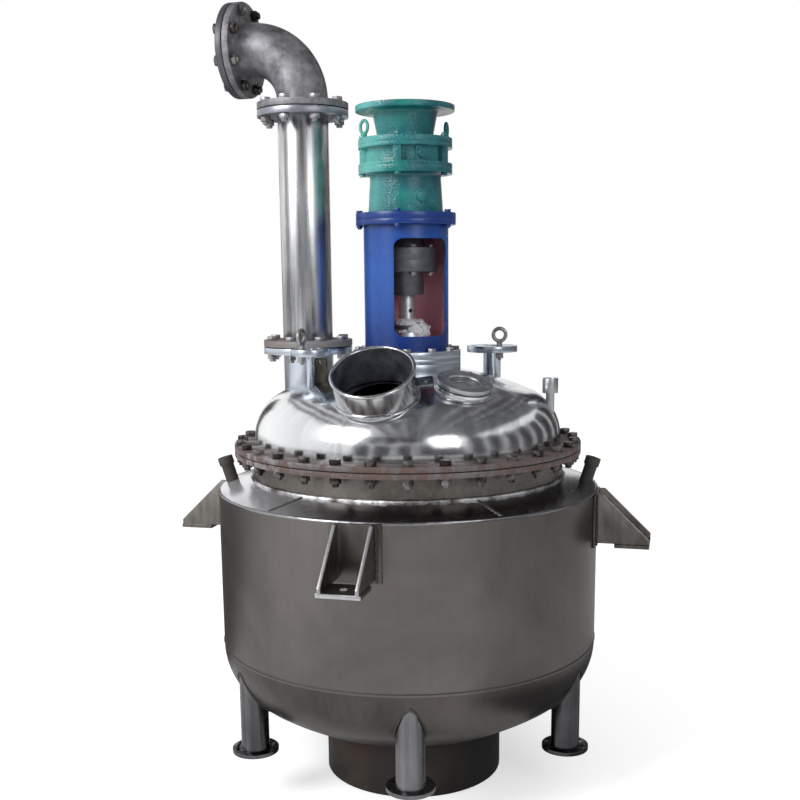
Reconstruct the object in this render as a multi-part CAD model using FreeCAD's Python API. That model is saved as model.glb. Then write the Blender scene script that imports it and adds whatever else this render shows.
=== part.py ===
import FreeCAD, Part
import math
import os

V = FreeCAD.Vector

# Frame: millimetres, +Z up. The origin is on the vessel's axis, level with the skirt's lower edge.
# Azimuths are in degrees from the front (-Y), positive towards the right (+X).

# Vessel radius, which sets the jacket, the flanges, the lid and the places on it
vessel_r = 488.0
jacket_gap = 112.0
skirt_inset = 314.0
skirt_shift = 12.0
stub_inset = 36.0
leg_inset = 48.0
flange_width = 58.0
closure_bolt_inset = 21.0
gasket_width = 20.0
lid_inset = 6.0
manhole_ratio = 0.72
hinge_ratio = 0.593
sight_ratio = 0.658
feed_ratio = 0.693
gauge_ratio = 0.674
probe_ratio = 0.9357

# Jacket and skirt
jacket_wall = 8.0
jacket_tangent_z = 450.0
jacket_height = 494.0
jacket_crown_r = 900.0
jacket_knuckle_r = 200.0
cone_rise = 34.0
skirt_wall = 6.0
stub_r = 20.0
stub_wall = 4.0
stub_length = 80.0
stub_socket_r = 24.0
stub_socket_length = 26.0
stub_azimuths = {"jacket_stub_left": -91.0, "jacket_stub_right": 84.0}

# Inner vessel and its outlet
vessel_wall = 8.0
vessel_crown_r = 800.0
vessel_knuckle_r = 100.0
vessel_tangent_z = jacket_tangent_z + 20.0
outlet_r = 44.5
outlet_wall = 4.0
outlet_flange_r = 100.0
outlet_flange_thick = 20.0
outlet_flange_z = 30.0
outlet_pcd = 160.0
outlet_hole_r = 9.0
outlet_holes = 8

# Main closure
flange_thick = 16.0
flange_z = 1051.0
gasket_thick = 3.0
closure_bolt_count = 32
closure_bolt_r = 10.0
closure_head_af = 30.0
closure_head_height = 13.0
closure_nut_height = 16.0
closure_thread_end = 9.0
bolt_hole_gap = 1.0

# Dished lid
lid_wall = 6.0
lid_crown_r = 1000.0
lid_knuckle_r = 150.0
lid_straight = 34.0

# Legs
leg_r = 43.0
leg_wall = 4.0
leg_plate_r = 71.0
leg_plate_thick = 12.0
leg_plate_z = 158.0
leg_plate_pcd = 111.0
leg_plate_hole_r = 5.0
leg_plate_holes = 6
leg_names = ("leg_front", "leg_front_right", "leg_back_right", "leg_back", "leg_back_left", "leg_front_left")

# Side lugs
lug_azimuth = -14.0
lug_count = 4
lug_reach = 165.0
lug_pad_thick = 8.0
lug_pad_width = 150.0
lug_height = 164.0
lug_base_depth = 105.0
lug_base_width = 124.0
lug_base_thick = 12.0
lug_gusset_gap = 94.0
lug_gusset_thick = 10.0
lug_top_width = 14.0
lug_toe = 14.0
lug_hole_r = 12.0
lug_drop = 4.0

# Manhole
manhole_azimuth = -14.5
manhole_tilt = 31.5
manhole_r = 119.5
manhole_wall = 6.0
manhole_height = 85.0
manhole_bead_r = 5.5
bracket_thick = 6.0
bracket_gap = 14.0
bracket_hole_r = 6.5
bracket_corner_r = 8.0
hinge_azimuth = -67.8
hinge_turn = -10.0
hinge_width = 38.0
hinge_top_z = 1353.0
latch_turn = 3.5
latch_length = 47.0
latch_width = 42.0
latch_thick = 8.0
latch_lift = 30.0
latch_hole_r = 7.0
latch_hole_inset = 20.5

# Sight glass
sight_azimuth = 31.1
sight_r = 82.5
sight_bore_r = 45.0
sight_base_height = 10.0
sight_ledge = 6.0
sight_glass_r = 60.0
sight_glass_thick = 15.0
sight_gasket_thick = 3.0
sight_cover_thick = 14.0
sight_cover_lip = 5.0
sight_screw_r = 5.0
sight_screw_count = 4
sight_screw_circle_r = 72.0
sight_screw_head = 8.0
soft_gap = 0.3

# Small nozzles
feed_azimuth = 122.6
feed_r = 28.5
feed_wall = 4.0
feed_flange_r = 82.5
feed_pcd = 125.0
feed_hole_r = 9.0
feed_eye_azimuth = 18.0
feed_flange_z = 1349.0
gauge_azimuth = -64.5
gauge_r = 14.0
gauge_wall = 3.5
gauge_flange_r = 57.5
gauge_pcd = 85.0
gauge_hole_r = 7.0
gauge_eye_azimuth = -30.0
gauge_flange_z = 1362.0
small_flange_thick = 20.0
small_holes = 4
probe_azimuth = 77.0
probe_stem_r = 13.0
probe_stem_height = 45.0
probe_cup_r = 24.0
probe_cup_height = 45.0
probe_bore_r = 16.0
probe_bore_depth = 30.0
probe_passage_r = 7.0

# Eye bolts
eye_ring_r = 20.0
eye_wire_r = 6.0
eye_shank_r = 6.0
eye_collar_r = 9.0
eye_collar_height = 12.0
eye_nut_af = 24.0
eye_nut_height = 18.0
feed_eye_turn = 0.0
gauge_eye_turn = 66.0

# Vapour line
vapour_azimuth = -109.03
vapour_gap = 26.4
vapour_r = 79.5
vapour_wall = 4.5
pipe_flange_r = 142.5
pipe_flange_thick = 20.0
pipe_pcd = 240.0
pipe_bolt_count = 8
pipe_hole_r = 11.0
pipe_bolt_r = 10.0
pipe_head_af = 30.0
pipe_head_height = 13.0
pipe_nut_height = 16.0
pipe_thread_end = 8.0
nozzle_flange_z = 1355.0
vapour_pipe_length = 727.0
elbow_bend_r = 160.0
elbow_rise = 28.0
elbow_run = 42.0
elbow_turn = 17.0

# Lid pad, seal flange and column
pad_r = 168.5
pad_bore_r = 110.0
pad_top_z = 1333.0
seal_flange_thick = 16.0
column_foot_thick = 21.0
column_r = 130.8
column_wall = 8.0
column_height = 380.0
column_head_r = 154.0
column_head_thick = 16.0
column_head_bore_r = 105.0
column_bolt_count = 12
column_bolt_r = 8.0
column_bolt_circle_r = 152.0
column_bolt_af = 24.0
column_bolt_head = 10.0
column_bolt_depth = 12.0
window_azimuth = 25.0
window_width = 174.0
window_sill = 46.0
window_height = 292.0
window_corner_r = 25.0

# Shaft seal
seal_body_r = 62.0
seal_body_height = 76.0
gland_r = 54.0
gland_thick = 14.0
gland_lift = 8.0
gland_sleeve_depth = 30.0
gland_sleeve_r = 38.0
gland_stud_r = 5.0
gland_stud_circle_r = 46.0
gland_stud_count = 4
gland_stud_length = 46.0
gland_stud_seat = 22.0
gland_nut_af = 17.0
gland_nut_height = 9.0
wrap_r = 42.0
wrap_height = 30.0
run_gap = 0.05
shaft_gap = 3.0

# Reducer
adapter_thick = 20.0
adapter_bore_r = 60.0
base_foot_r = 115.0
base_top_r = 108.5
base_height = 115.0
ring_r = 143.4
base_ring_thick = 21.0
base_ring_step = 12.0
body_ring_low = 9.0
body_r = 121.0
body_height = 45.0
body_ring_high = 11.0
cover_ring_thick = 18.0
neck_low_r = 85.0
neck_top_r = 97.0
neck_height = 80.0
motor_flange_r = 150.7
motor_flange_thick = 16.0
motor_fillet_r = 12.0
motor_spigot_r = 115.0
motor_spigot_depth = 5.0
motor_pcd = 265.0
motor_hole_r = 7.25
motor_holes = 4
pocket_r = 62.0
pocket_floor = 50.0
post_azimuth = -10.0
post_count = 5
post_width = 24.0
post_r = 139.0
reducer_bolt_r = 6.0
reducer_bolt_circle_r = 131.0
reducer_bolt_af = 19.0
reducer_bolt_head = 8.0
plug_azimuth = 22.7
plug_r = 15.0
plug_head = 7.0
plug_pad_azimuth = 31.0
plug_pad_width = 74.0
plug_pad_step = 5.0
plug_offset = -18.4
drain_pad_width = 46.0
drain_pad_r = 119.0
drain_pad_height = 44.0
lifting_eye_azimuths = (-96.0, 95.0)
lifting_eye_turns = (-53.0, 78.0)
lifting_eye_collars = (15.0, 4.0)
lifting_eye_circle_r = 126.0
lifting_eye_ring_r = 19.0
lifting_eye_wire_r = 5.0
foot_bolt_circle_r = 143.0
foot_bolt_r = 6.0
foot_bolt_af = 19.0
foot_bolt_head = 8.0

# Shafts, coupling and anchor
shaft_r = 25.0
output_shaft_depth = 100.0
sleeve_r = 30.0
sleeve_length = 68.0
sleeve_bore_r = 14.0
sleeve_bore_depth = 60.0
coupling_z = 1646.0
coupling_r = 95.0
coupling_disc_thick = 36.0
coupling_hub_r = 54.0
coupling_hub_length = 70.0
coupling_bolt_count = 6
coupling_bolt_r = 7.0
coupling_bolt_circle_r = 76.0
coupling_bolt_af = 22.0
coupling_bolt_head = 9.0
anchor_gap = 40.0
anchor_width = 55.0
anchor_top_z = 800.0
anchor_thick = 14.0
anchor_bar_z = 620.0
anchor_bar_height = 40.0
anchor_hub_r = 45.0
anchor_hub_height = 90.0
anchor_hub_drop = 6.0

# Heights, radii and places that follow from the sizes above
jacket_r = vessel_r + jacket_gap
skirt_r = jacket_r - skirt_inset
stub_pitch_r = jacket_r - stub_inset
leg_circle_r = jacket_r - leg_inset
flange_r = vessel_r + flange_width
gasket_r = vessel_r + gasket_width
closure_pcd = 2 * (flange_r - closure_bolt_inset)
lid_r = vessel_r - lid_inset
manhole_circle_r = manhole_ratio * lid_r
hinge_circle_r = hinge_ratio * lid_r
sight_circle_r = sight_ratio * lid_r
feed_circle_r = feed_ratio * lid_r
gauge_circle_r = gauge_ratio * lid_r
probe_circle_r = probe_ratio * lid_r
vapour_circle_r = pad_r + vapour_gap + pipe_flange_r
vapour_x = vapour_circle_r * math.sin(math.radians(vapour_azimuth))
vapour_y = -vapour_circle_r * math.cos(math.radians(vapour_azimuth))
jacket_top_z = jacket_tangent_z + jacket_height
flange_face_z = flange_z + flange_thick
lid_flange_z = flange_face_z + gasket_thick
lid_flange_top_z = lid_flange_z + flange_thick
lid_tangent_z = lid_flange_z + lid_straight
seal_flange_z = pad_top_z
column_foot_z = seal_flange_z + seal_flange_thick
column_z = column_foot_z + column_foot_thick
column_head_z = column_z + column_height
adapter_z = column_head_z + column_head_thick
base_z = adapter_z + adapter_thick
body_z = base_z + base_height + base_ring_thick
body_top_z = body_z + body_ring_low + body_height + body_ring_high
cover_ring_top_z = body_top_z + cover_ring_thick
motor_flange_z = cover_ring_top_z + neck_height
motor_face_z = motor_flange_z + motor_flange_thick
pocket_z = motor_face_z - pocket_floor
sleeve_z = motor_face_z - motor_spigot_depth - 10.0 - sleeve_length
pipe_low_z = nozzle_flange_z + pipe_flange_thick + gasket_thick
pipe_top_z = pipe_low_z + vapour_pipe_length
elbow_z = pipe_top_z + gasket_thick
anchor_r = vessel_r - vessel_wall - anchor_gap


def polar(radius, azimuth, z=0.0):
    """Point at a radius from the vessel's axis and an azimuth from the front."""
    a = math.radians(azimuth)
    return V(radius * math.sin(a), -radius * math.cos(a), z)


def moved(shape, position):
    copy = shape.copy()
    copy.translate(position)
    return copy


def turned(shape, angle, centre=V(0, 0, 0), axis=V(0, 0, 1)):
    copy = shape.copy()
    copy.rotate(centre, axis, angle)
    return copy


def aimed(shape, foot, direction):
    """Shape built along +Z at the origin, put at a foot point with its +Z along the direction."""
    copy = shape.copy()
    copy.Placement = FreeCAD.Placement(foot, FreeCAD.Rotation(V(0, 0, 1), direction))
    return copy


def outline(start, *steps):
    """Closed face in the radius and height plane: a step is a point, or the middle and end of an arc."""
    edges = []
    here = V(start[0], 0, start[1])
    first = here
    for step in steps:
        if isinstance(step[0], tuple):
            middle = V(step[0][0], 0, step[0][1])
            there = V(step[1][0], 0, step[1][1])
            edges.append(Part.Arc(here, middle, there).toShape())
        else:
            there = V(step[0], 0, step[1])
            if there.distanceToPoint(here) > 1e-6:
                edges.append(Part.LineSegment(here, there).toShape())
        here = there
    if here.distanceToPoint(first) > 1e-6:
        edges.append(Part.LineSegment(here, first).toShape())
    return Part.Face(Part.Wire(edges))


def turned_solid(face):
    return face.revolve(V(0, 0, 0), V(0, 0, 1), 360)


def disc(radius, z0, z1, centre=V(0, 0, 0)):
    return Part.makeCylinder(radius, z1 - z0, centre + V(0, 0, z0))


def tube(outer, inner, z0, z1, centre=V(0, 0, 0)):
    return disc(outer, z0, z1, centre).cut(disc(inner, z0 - 1, z1 + 1, centre))


def ring_of(count, circle_r, phase=0.0, centre=V(0, 0, 0)):
    """Centres of a round pattern, counted from an azimuth."""
    return [centre + polar(circle_r, phase + 360.0 * i / count) for i in range(count)]


def drilled(shape, centres, radius, z0, z1):
    for centre in centres:
        shape = shape.cut(disc(radius, z0, z1, centre))
    return shape


def hexagon(across_flats, z0, z1, centre=V(0, 0, 0), phase=0.0):
    corner = across_flats / math.sqrt(3.0)
    points = [centre + polar(corner, phase + 60.0 * i, z0) for i in range(7)]
    return Part.Face(Part.makePolygon(points)).extrude(V(0, 0, z1 - z0))


def bolt(radius, head_af, head, z_head, z_end, centre, phase=0.0):
    """Hex bolt seated at z_head, with its head away from z_end."""
    up = 1.0 if z_end < z_head else -1.0
    low, high = sorted((z_head, z_head + up * head))
    shank_low, shank_high = sorted((z_head, z_end))
    shank = disc(radius, shank_low, shank_high, centre)
    return hexagon(head_af, low, high, centre, phase).fuse(shank)


def nut(radius, across_flats, z0, z1, centre, phase=0.0):
    return hexagon(across_flats, z0, z1, centre, phase).cut(disc(radius, z0 - 1, z1 + 1, centre))


def group(shapes):
    return Part.makeCompound(shapes)


def dish_points(radius, crown_r, knuckle_r):
    """Knuckle middle, knuckle end, crown middle and pole of a dished end, as height above the tangent."""
    side = radius - knuckle_r
    drop = math.sqrt((crown_r - knuckle_r) ** 2 - side ** 2)
    a = math.atan2(side, drop)
    half = (a + math.pi / 2) / 2
    middle = (side + knuckle_r * math.sin(half), knuckle_r * math.cos(half))
    end = (crown_r * math.sin(a), crown_r * math.cos(a) - drop)
    crown = (crown_r * math.sin(a / 2), crown_r * math.cos(a / 2) - drop)
    return middle, end, crown, (0.0, crown_r - drop)


def dish_height(radius, crown_r, knuckle_r, at_r):
    """Height of a dished end above its tangent at a radius from the axis."""
    side = radius - knuckle_r
    if at_r > crown_r * side / (crown_r - knuckle_r):
        return math.sqrt(knuckle_r ** 2 - (at_r - side) ** 2)
    return math.sqrt(crown_r ** 2 - at_r ** 2) - math.sqrt((crown_r - knuckle_r) ** 2 - side ** 2)


def dish_solid(radius, crown_r, knuckle_r, tangent_z, up, skirt=0.0):
    """Solid that fills a dished end, with a straight part on the far side of the tangent."""
    middle, end, crown, pole = dish_points(radius, crown_r, knuckle_r)

    def at(p):
        return (p[0], tangent_z + up * p[1])

    face = outline((radius, tangent_z - up * skirt), (radius, tangent_z), (at(middle), at(end)),
                   (at(crown), at(pole)), (0.0, tangent_z - up * skirt))
    return turned_solid(face)


def dish_shell(radius, wall, crown_r, knuckle_r, tangent_z, up, skirt=0.0):
    whole = dish_solid(radius, crown_r, knuckle_r, tangent_z, up, skirt)
    inside = dish_solid(radius - wall, crown_r - wall, knuckle_r - wall, tangent_z, up, skirt + 1.0)
    return whole.cut(inside)


def lid_envelope():
    return dish_solid(lid_r, lid_crown_r, lid_knuckle_r, lid_tangent_z, 1.0, lid_straight)


def lid_surface(azimuth, radius, tilt=None):
    """Foot point on the lid's crown and the outward normal there, or the given lean from upright."""
    z = lid_tangent_z + dish_height(lid_r, lid_crown_r, lid_knuckle_r, radius)
    if tilt is None:
        tilt = math.degrees(math.asin(radius / lid_crown_r))
    a = math.radians(azimuth)
    t = math.radians(tilt)
    normal = V(math.sin(t) * math.sin(a), -math.sin(t) * math.cos(a), math.cos(t))
    return polar(radius, azimuth, z), normal


def jacket_parts():
    shell = tube(jacket_r, jacket_r - jacket_wall, jacket_tangent_z, jacket_top_z)
    head = dish_shell(jacket_r, jacket_wall, jacket_crown_r, jacket_knuckle_r, jacket_tangent_z, -1.0)
    head = head.cut(disc(outlet_r, 0, vessel_tangent_z))
    slope = cone_rise / (jacket_r - vessel_r)
    drop = jacket_wall * math.sqrt(1 + slope ** 2)
    cone = turned_solid(outline((jacket_r, jacket_top_z), (vessel_r, jacket_top_z + cone_rise),
                                (vessel_r, jacket_top_z + cone_rise - drop),
                                (jacket_r - drop / slope, jacket_top_z)))
    return {"jacket_shell": shell, "jacket_head": head, "jacket_cone": cone}


def jacket_stub(azimuth):
    """Filling socket that stands square on the cone."""
    slope = cone_rise / (jacket_r - vessel_r)
    foot = polar(stub_pitch_r, azimuth, jacket_top_z + (jacket_r - stub_pitch_r) * slope)
    out = polar(slope, azimuth, 1.0)
    body = disc(stub_r, -stub_r, stub_length)
    body = body.fuse(disc(stub_socket_r, stub_length - stub_socket_length, stub_length))
    body = body.cut(disc(stub_r - stub_wall, -stub_r - 1, stub_length + 1))
    spare = stub_length
    below = turned_solid(outline((0, jacket_top_z - spare), (jacket_r + spare, jacket_top_z - spare),
                                 (jacket_r + spare, jacket_top_z - spare * slope),
                                 (0, jacket_top_z + jacket_r * slope)))
    return aimed(body, foot, out).cut(below)


def inner_vessel():
    head = dish_shell(vessel_r, vessel_wall, vessel_crown_r, vessel_knuckle_r, vessel_tangent_z, -1.0)
    head = head.cut(disc(outlet_r - outlet_wall, 0, vessel_tangent_z))
    shell = tube(vessel_r, vessel_r - vessel_wall, vessel_tangent_z, flange_face_z)
    return shell.fuse(head).removeSplitter()


def outlet_nozzle():
    pipe = disc(outlet_r, outlet_flange_z, vessel_tangent_z)
    pipe = pipe.cut(dish_solid(vessel_r, vessel_crown_r, vessel_knuckle_r, vessel_tangent_z, -1.0, 1.0))
    plate_top = outlet_flange_z + outlet_flange_thick
    plate = disc(outlet_flange_r, outlet_flange_z, plate_top)
    plate = drilled(plate, ring_of(outlet_holes, outlet_pcd / 2, 22.5), outlet_hole_r, 0, plate_top + 1)
    return pipe.fuse(plate).cut(disc(outlet_r - outlet_wall, 0, vessel_tangent_z))


def support_skirt():
    """Open ring that carries the jacket head a little off centre, its top edge cut to the head."""
    ring = tube(skirt_r, skirt_r - skirt_wall, 0, jacket_tangent_z, V(skirt_shift, 0, 0))
    return ring.cut(dish_solid(jacket_r, jacket_crown_r, jacket_knuckle_r, jacket_tangent_z, -1.0, 1.0))


def leg(azimuth):
    """Pipe leg cut to the jacket head, on a round foot plate."""
    centre = polar(leg_circle_r, azimuth)
    plate_top = leg_plate_z + leg_plate_thick
    pipe = tube(leg_r, leg_r - leg_wall, plate_top, jacket_tangent_z, centre)
    pipe = pipe.cut(dish_solid(jacket_r, jacket_crown_r, jacket_knuckle_r, jacket_tangent_z, -1.0, 1.0))
    pieces = sorted(pipe.Solids, key=lambda s: s.BoundBox.ZMin)
    plate = disc(leg_plate_r, leg_plate_z, plate_top, centre)
    holes = ring_of(leg_plate_holes, leg_plate_pcd / 2, 0.0, centre)
    plate = drilled(plate, holes, leg_plate_hole_r, leg_plate_z - 1, plate_top + 1)
    return pieces[0].fuse(plate)


def side_lug(azimuth):
    """Bracket of two gussets on a curved pad, with a drilled base plate at its outer end."""
    low = jacket_top_z - lug_drop - lug_height
    pad_r_out = jacket_r + lug_pad_thick
    tip = jacket_r + lug_reach
    pad = tube(pad_r_out, jacket_r, low, low + lug_height)
    pad = pad.common(Part.makeBox(lug_pad_width, pad_r_out + 1, lug_height,
                                  V(-lug_pad_width / 2, -pad_r_out - 1, low)))
    base_top = low + lug_base_thick
    gussets = []
    for side in (-1.0, 1.0):
        inner = side * lug_gusset_gap / 2
        x0 = min(inner, inner + side * lug_gusset_thick)
        points = [V(x0, -jacket_r, base_top), V(x0, -jacket_r, low + lug_height),
                  V(x0, -pad_r_out - lug_top_width, low + lug_height), V(x0, -tip, base_top + lug_toe),
                  V(x0, -tip, base_top), V(x0, -jacket_r, base_top)]
        gusset = Part.Face(Part.makePolygon(points)).extrude(V(lug_gusset_thick, 0, 0))
        gussets.append(gusset.cut(disc(pad_r_out - 1.0, low - 1, jacket_top_z)))
    base = Part.makeBox(lug_base_width, lug_base_depth, lug_base_thick,
                        V(-lug_base_width / 2, -tip, low))
    base = base.cut(disc(lug_hole_r, low - 1, base_top + 1, V(0, -tip + lug_base_depth / 2, 0)))
    whole = pad.fuse(gussets + [base]).removeSplitter()
    return turned(whole, azimuth)


def closure():
    """Vessel flange, gasket and lid flange on one bolt circle."""
    centres = ring_of(closure_bolt_count, closure_pcd / 2)
    hole = closure_bolt_r + bolt_hole_gap
    vessel = tube(flange_r, vessel_r, flange_z, flange_face_z)
    vessel = drilled(vessel, centres, hole, flange_z - 1, flange_face_z + 1)
    lid = tube(flange_r, lid_r, lid_flange_z, lid_flange_top_z)
    lid = drilled(lid, centres, hole, lid_flange_z - 1, lid_flange_top_z + 1)
    gasket = tube(gasket_r, lid_r - lid_wall, flange_face_z, lid_flange_z)
    end = flange_z - closure_nut_height - closure_thread_end
    bolts = [bolt(closure_bolt_r, closure_head_af, closure_head_height, lid_flange_top_z, end, c)
             for c in centres]
    nuts = [nut(closure_bolt_r, closure_head_af, flange_z - closure_nut_height, flange_z, c)
            for c in centres]
    return {"vessel_flange": vessel, "lid_flange": lid, "lid_gasket": gasket,
            "flange_bolts": group(bolts + nuts)}


def lid_dome():
    """Dished lid with an opening under each fitting."""
    dome = dish_shell(lid_r, lid_wall, lid_crown_r, lid_knuckle_r, lid_tangent_z, 1.0, lid_straight)
    tall = lid_crown_r
    cuts = [disc(pad_bore_r, lid_flange_z, tall + lid_tangent_z),
            disc(vapour_r - vapour_wall, lid_flange_z, pipe_low_z, V(vapour_x, vapour_y, 0)),
            disc(feed_r - feed_wall, lid_flange_z, pipe_low_z, polar(feed_circle_r, feed_azimuth)),
            disc(gauge_r - gauge_wall, lid_flange_z, pipe_low_z, polar(gauge_circle_r, gauge_azimuth)),
            disc(probe_passage_r, lid_flange_z, pipe_low_z, polar(probe_circle_r, probe_azimuth))]
    for radius, seat in ((manhole_r - manhole_wall, manhole_seat()), (sight_bore_r, sight_seat())):
        cuts.append(aimed(disc(radius, -radius, radius), *seat))
    return dome.cut(cuts)


def manhole_seat():
    return lid_surface(manhole_azimuth, manhole_circle_r, manhole_tilt)


def sight_seat():
    return lid_surface(sight_azimuth, sight_circle_r)


def manhole_neck():
    """Short neck that leans further out than the lid's surface, with a rounded rim."""
    neck = tube(manhole_r, manhole_r - manhole_wall, -manhole_r / 2, manhole_height)
    rim = Part.makeTorus(manhole_r - manhole_wall + manhole_bead_r, manhole_bead_r, V(0, 0, manhole_height))
    return aimed(neck.fuse(rim), *manhole_seat()).cut(lid_envelope())


def clevis(width, top_z, azimuth, circle_r, turn):
    """Two upright pinned plates joined by a web, cut to the lid at their feet."""
    centre, normal = lid_surface(azimuth, circle_r)
    centre.z = 0
    low = lid_flange_top_z
    depth = bracket_gap / 2 + bracket_thick
    block = Part.makeBox(width, 2 * depth, top_z - low, V(-width / 2, -depth, low))
    corners = [e for e in block.Edges if e.BoundBox.ZMin > top_z - 1 and e.BoundBox.YLength > depth]
    block = block.makeFillet(bracket_corner_r, corners)
    slot = Part.makeBox(width + 2, bracket_gap, top_z, V(-width / 2 - 1, -bracket_gap / 2,
                                                         top_z - 2 * bracket_hole_r - 14.0))
    hole = Part.makeCylinder(bracket_hole_r, 4 * depth, V(0, -2 * depth, top_z - bracket_hole_r - 6.0),
                             V(0, 1, 0))
    plates = moved(turned(block.cut([slot, hole]), turn), centre)
    return plates.cut(lid_envelope())


def latch_ear():
    """Flat drilled ear on the neck's side, square to the neck's axis."""
    low = latch_lift - latch_thick
    tip = manhole_r + latch_length
    ear = Part.makeBox(tip, latch_width, latch_thick, V(0, -latch_width / 2, low))
    corners = [e for e in ear.Edges if e.BoundBox.XMin > tip - 1 and e.BoundBox.ZLength > latch_thick / 2]
    ear = ear.makeFillet(bracket_corner_r, corners)
    ear = ear.cut([disc(manhole_r, low - 1, latch_lift + 1),
                   disc(latch_hole_r, low - 1, latch_lift + 1, V(tip - latch_hole_inset, 0, 0))])
    return aimed(turned(ear, manhole_azimuth + latch_turn), *manhole_seat())


def manhole_brackets():
    return {"manhole_hinge": clevis(hinge_width, hinge_top_z, hinge_azimuth, hinge_circle_r, hinge_turn),
            "manhole_latch": latch_ear()}


def sight_glass():
    """Bolted sight glass: base, gasket, glass, cover ring and screws, square to the lid."""
    foot, normal = sight_seat()
    seat = sight_base_height - sight_ledge
    pocket = sight_glass_r + soft_gap
    base = disc(sight_r, -sight_r / 3, sight_base_height).cut([
        disc(sight_bore_r, -sight_r, sight_base_height + 1), disc(pocket, seat, sight_base_height + 1)])
    gasket_top = sight_base_height + sight_gasket_thick
    gasket = tube(sight_r - 1.0, pocket, sight_base_height, gasket_top)
    glass = disc(sight_glass_r, seat, seat + sight_glass_thick)
    lip = seat + sight_glass_thick
    cover_top = gasket_top + sight_cover_thick
    cover = tube(sight_r, sight_bore_r, gasket_top, cover_top).cut(disc(pocket, gasket_top - 1, lip))
    chamfer = Part.makeCone(sight_bore_r, sight_bore_r + sight_cover_lip, sight_cover_lip,
                            V(0, 0, cover_top - sight_cover_lip))
    cover = cover.cut(chamfer)
    centres = ring_of(sight_screw_count, sight_screw_circle_r, 45.0)
    gasket = drilled(gasket, centres, sight_screw_r, 0, gasket_top + 1)
    cover = drilled(cover, centres, sight_screw_r, 0, cover_top + 1)
    tap = sight_base_height - sight_screw_head
    base = drilled(base, centres, sight_screw_r, tap, cover_top)
    screws = [bolt(sight_screw_r, 2.7 * sight_screw_r, sight_screw_head * 0.75, cover_top, tap, c)
              for c in centres]
    parts = {"sight_gasket": gasket, "sight_window": glass, "sight_cover": cover}
    placed = {name: aimed(shape, foot, normal) for name, shape in parts.items()}
    placed["sight_screws"] = group([aimed(s, foot, normal) for s in screws])
    placed["sight_base"] = aimed(base, foot, normal).cut(lid_envelope())
    return placed


def small_nozzle(azimuth, circle_r, radius, wall, plate_r, plate_z, pcd, hole_r, phase):
    """Upright flanged neck cut to the lid."""
    centre = polar(circle_r, azimuth)
    top = plate_z + small_flange_thick
    neck = disc(radius, lid_tangent_z, plate_z + 1, centre).cut(lid_envelope())
    plate = disc(plate_r, plate_z, top, centre)
    plate = drilled(plate, ring_of(small_holes, pcd / 2, phase, centre), hole_r, plate_z - 1, top + 1)
    return neck.fuse(plate).cut(disc(radius - wall, lid_tangent_z, top + 1, centre))


def eye_bolt(ring_r, wire_r, collar_height, seat_z, shank_end, turn, centre):
    """Ring on a collar and shank, its ring upright and turned from facing the front."""
    ring_z = seat_z + collar_height + ring_r
    ring = Part.makeTorus(ring_r - wire_r, wire_r, V(0, 0, ring_z), V(0, 1, 0))
    collar = disc(eye_collar_r, seat_z, seat_z + collar_height + wire_r)
    shank = disc(eye_shank_r, shank_end, seat_z)
    opening = Part.makeCylinder(ring_r - 2 * wire_r, 4 * ring_r, V(0, -2 * ring_r, ring_z), V(0, 1, 0))
    whole = collar.fuse([shank, ring]).cut(opening)
    return moved(turned(whole, turn), centre)


def nozzle_eye_bolts():
    """Eye bolt and nut in one flange hole of each small nozzle."""
    shapes = []
    for azimuth, circle_r, plate_z, pcd, eye_azimuth, turn in (
            (feed_azimuth, feed_circle_r, feed_flange_z, feed_pcd, feed_eye_azimuth, feed_eye_turn),
            (gauge_azimuth, gauge_circle_r, gauge_flange_z, gauge_pcd, gauge_eye_azimuth, gauge_eye_turn)):
        centre = polar(circle_r, azimuth) + polar(pcd / 2, eye_azimuth)
        end = plate_z - eye_nut_height - eye_wire_r
        shapes.append(eye_bolt(eye_ring_r + eye_wire_r, eye_wire_r, eye_collar_height,
                               plate_z + small_flange_thick, end, turn, centre))
        shapes.append(nut(eye_shank_r, eye_nut_af, plate_z - eye_nut_height, plate_z, centre))
    return group(shapes)


def probe_socket():
    centre = polar(probe_circle_r, probe_azimuth)
    low = lid_tangent_z
    cup_z = low + dish_height(lid_r, lid_crown_r, lid_knuckle_r, probe_circle_r) + probe_stem_height
    stem = disc(probe_stem_r, low, cup_z, centre)
    top = cup_z + probe_cup_height
    cup = disc(probe_cup_r, cup_z, top, centre).cut(disc(probe_bore_r, top - probe_bore_depth, top + 1, centre))
    return stem.fuse(cup).cut([disc(probe_passage_r, low, top, centre), lid_envelope()])


def pipe_plate(z0, inner_r=vapour_r - vapour_wall):
    plate = tube(pipe_flange_r, inner_r, z0, z0 + pipe_flange_thick)
    return drilled(plate, ring_of(pipe_bolt_count, pipe_pcd / 2, 22.5), pipe_hole_r, z0 - 1,
                   z0 + pipe_flange_thick + 1)


def pipe_bolt_set(joint_z):
    """Bolts and nuts through two pipe flanges with a gasket between them, heads on top."""
    seat = joint_z + gasket_thick + pipe_flange_thick
    under = joint_z - pipe_flange_thick
    end = under - pipe_nut_height - pipe_thread_end
    shapes = []
    for centre in ring_of(pipe_bolt_count, pipe_pcd / 2, 22.5):
        shapes.append(bolt(pipe_bolt_r, pipe_head_af, pipe_head_height, seat, end, centre))
        shapes.append(nut(pipe_bolt_r, pipe_head_af, under - pipe_nut_height, under, centre))
    return shapes


def pipe_gasket(z0):
    return tube(pipe_pcd / 2 - pipe_hole_r - 2.0, vapour_r - vapour_wall, z0, z0 + gasket_thick)


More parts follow.
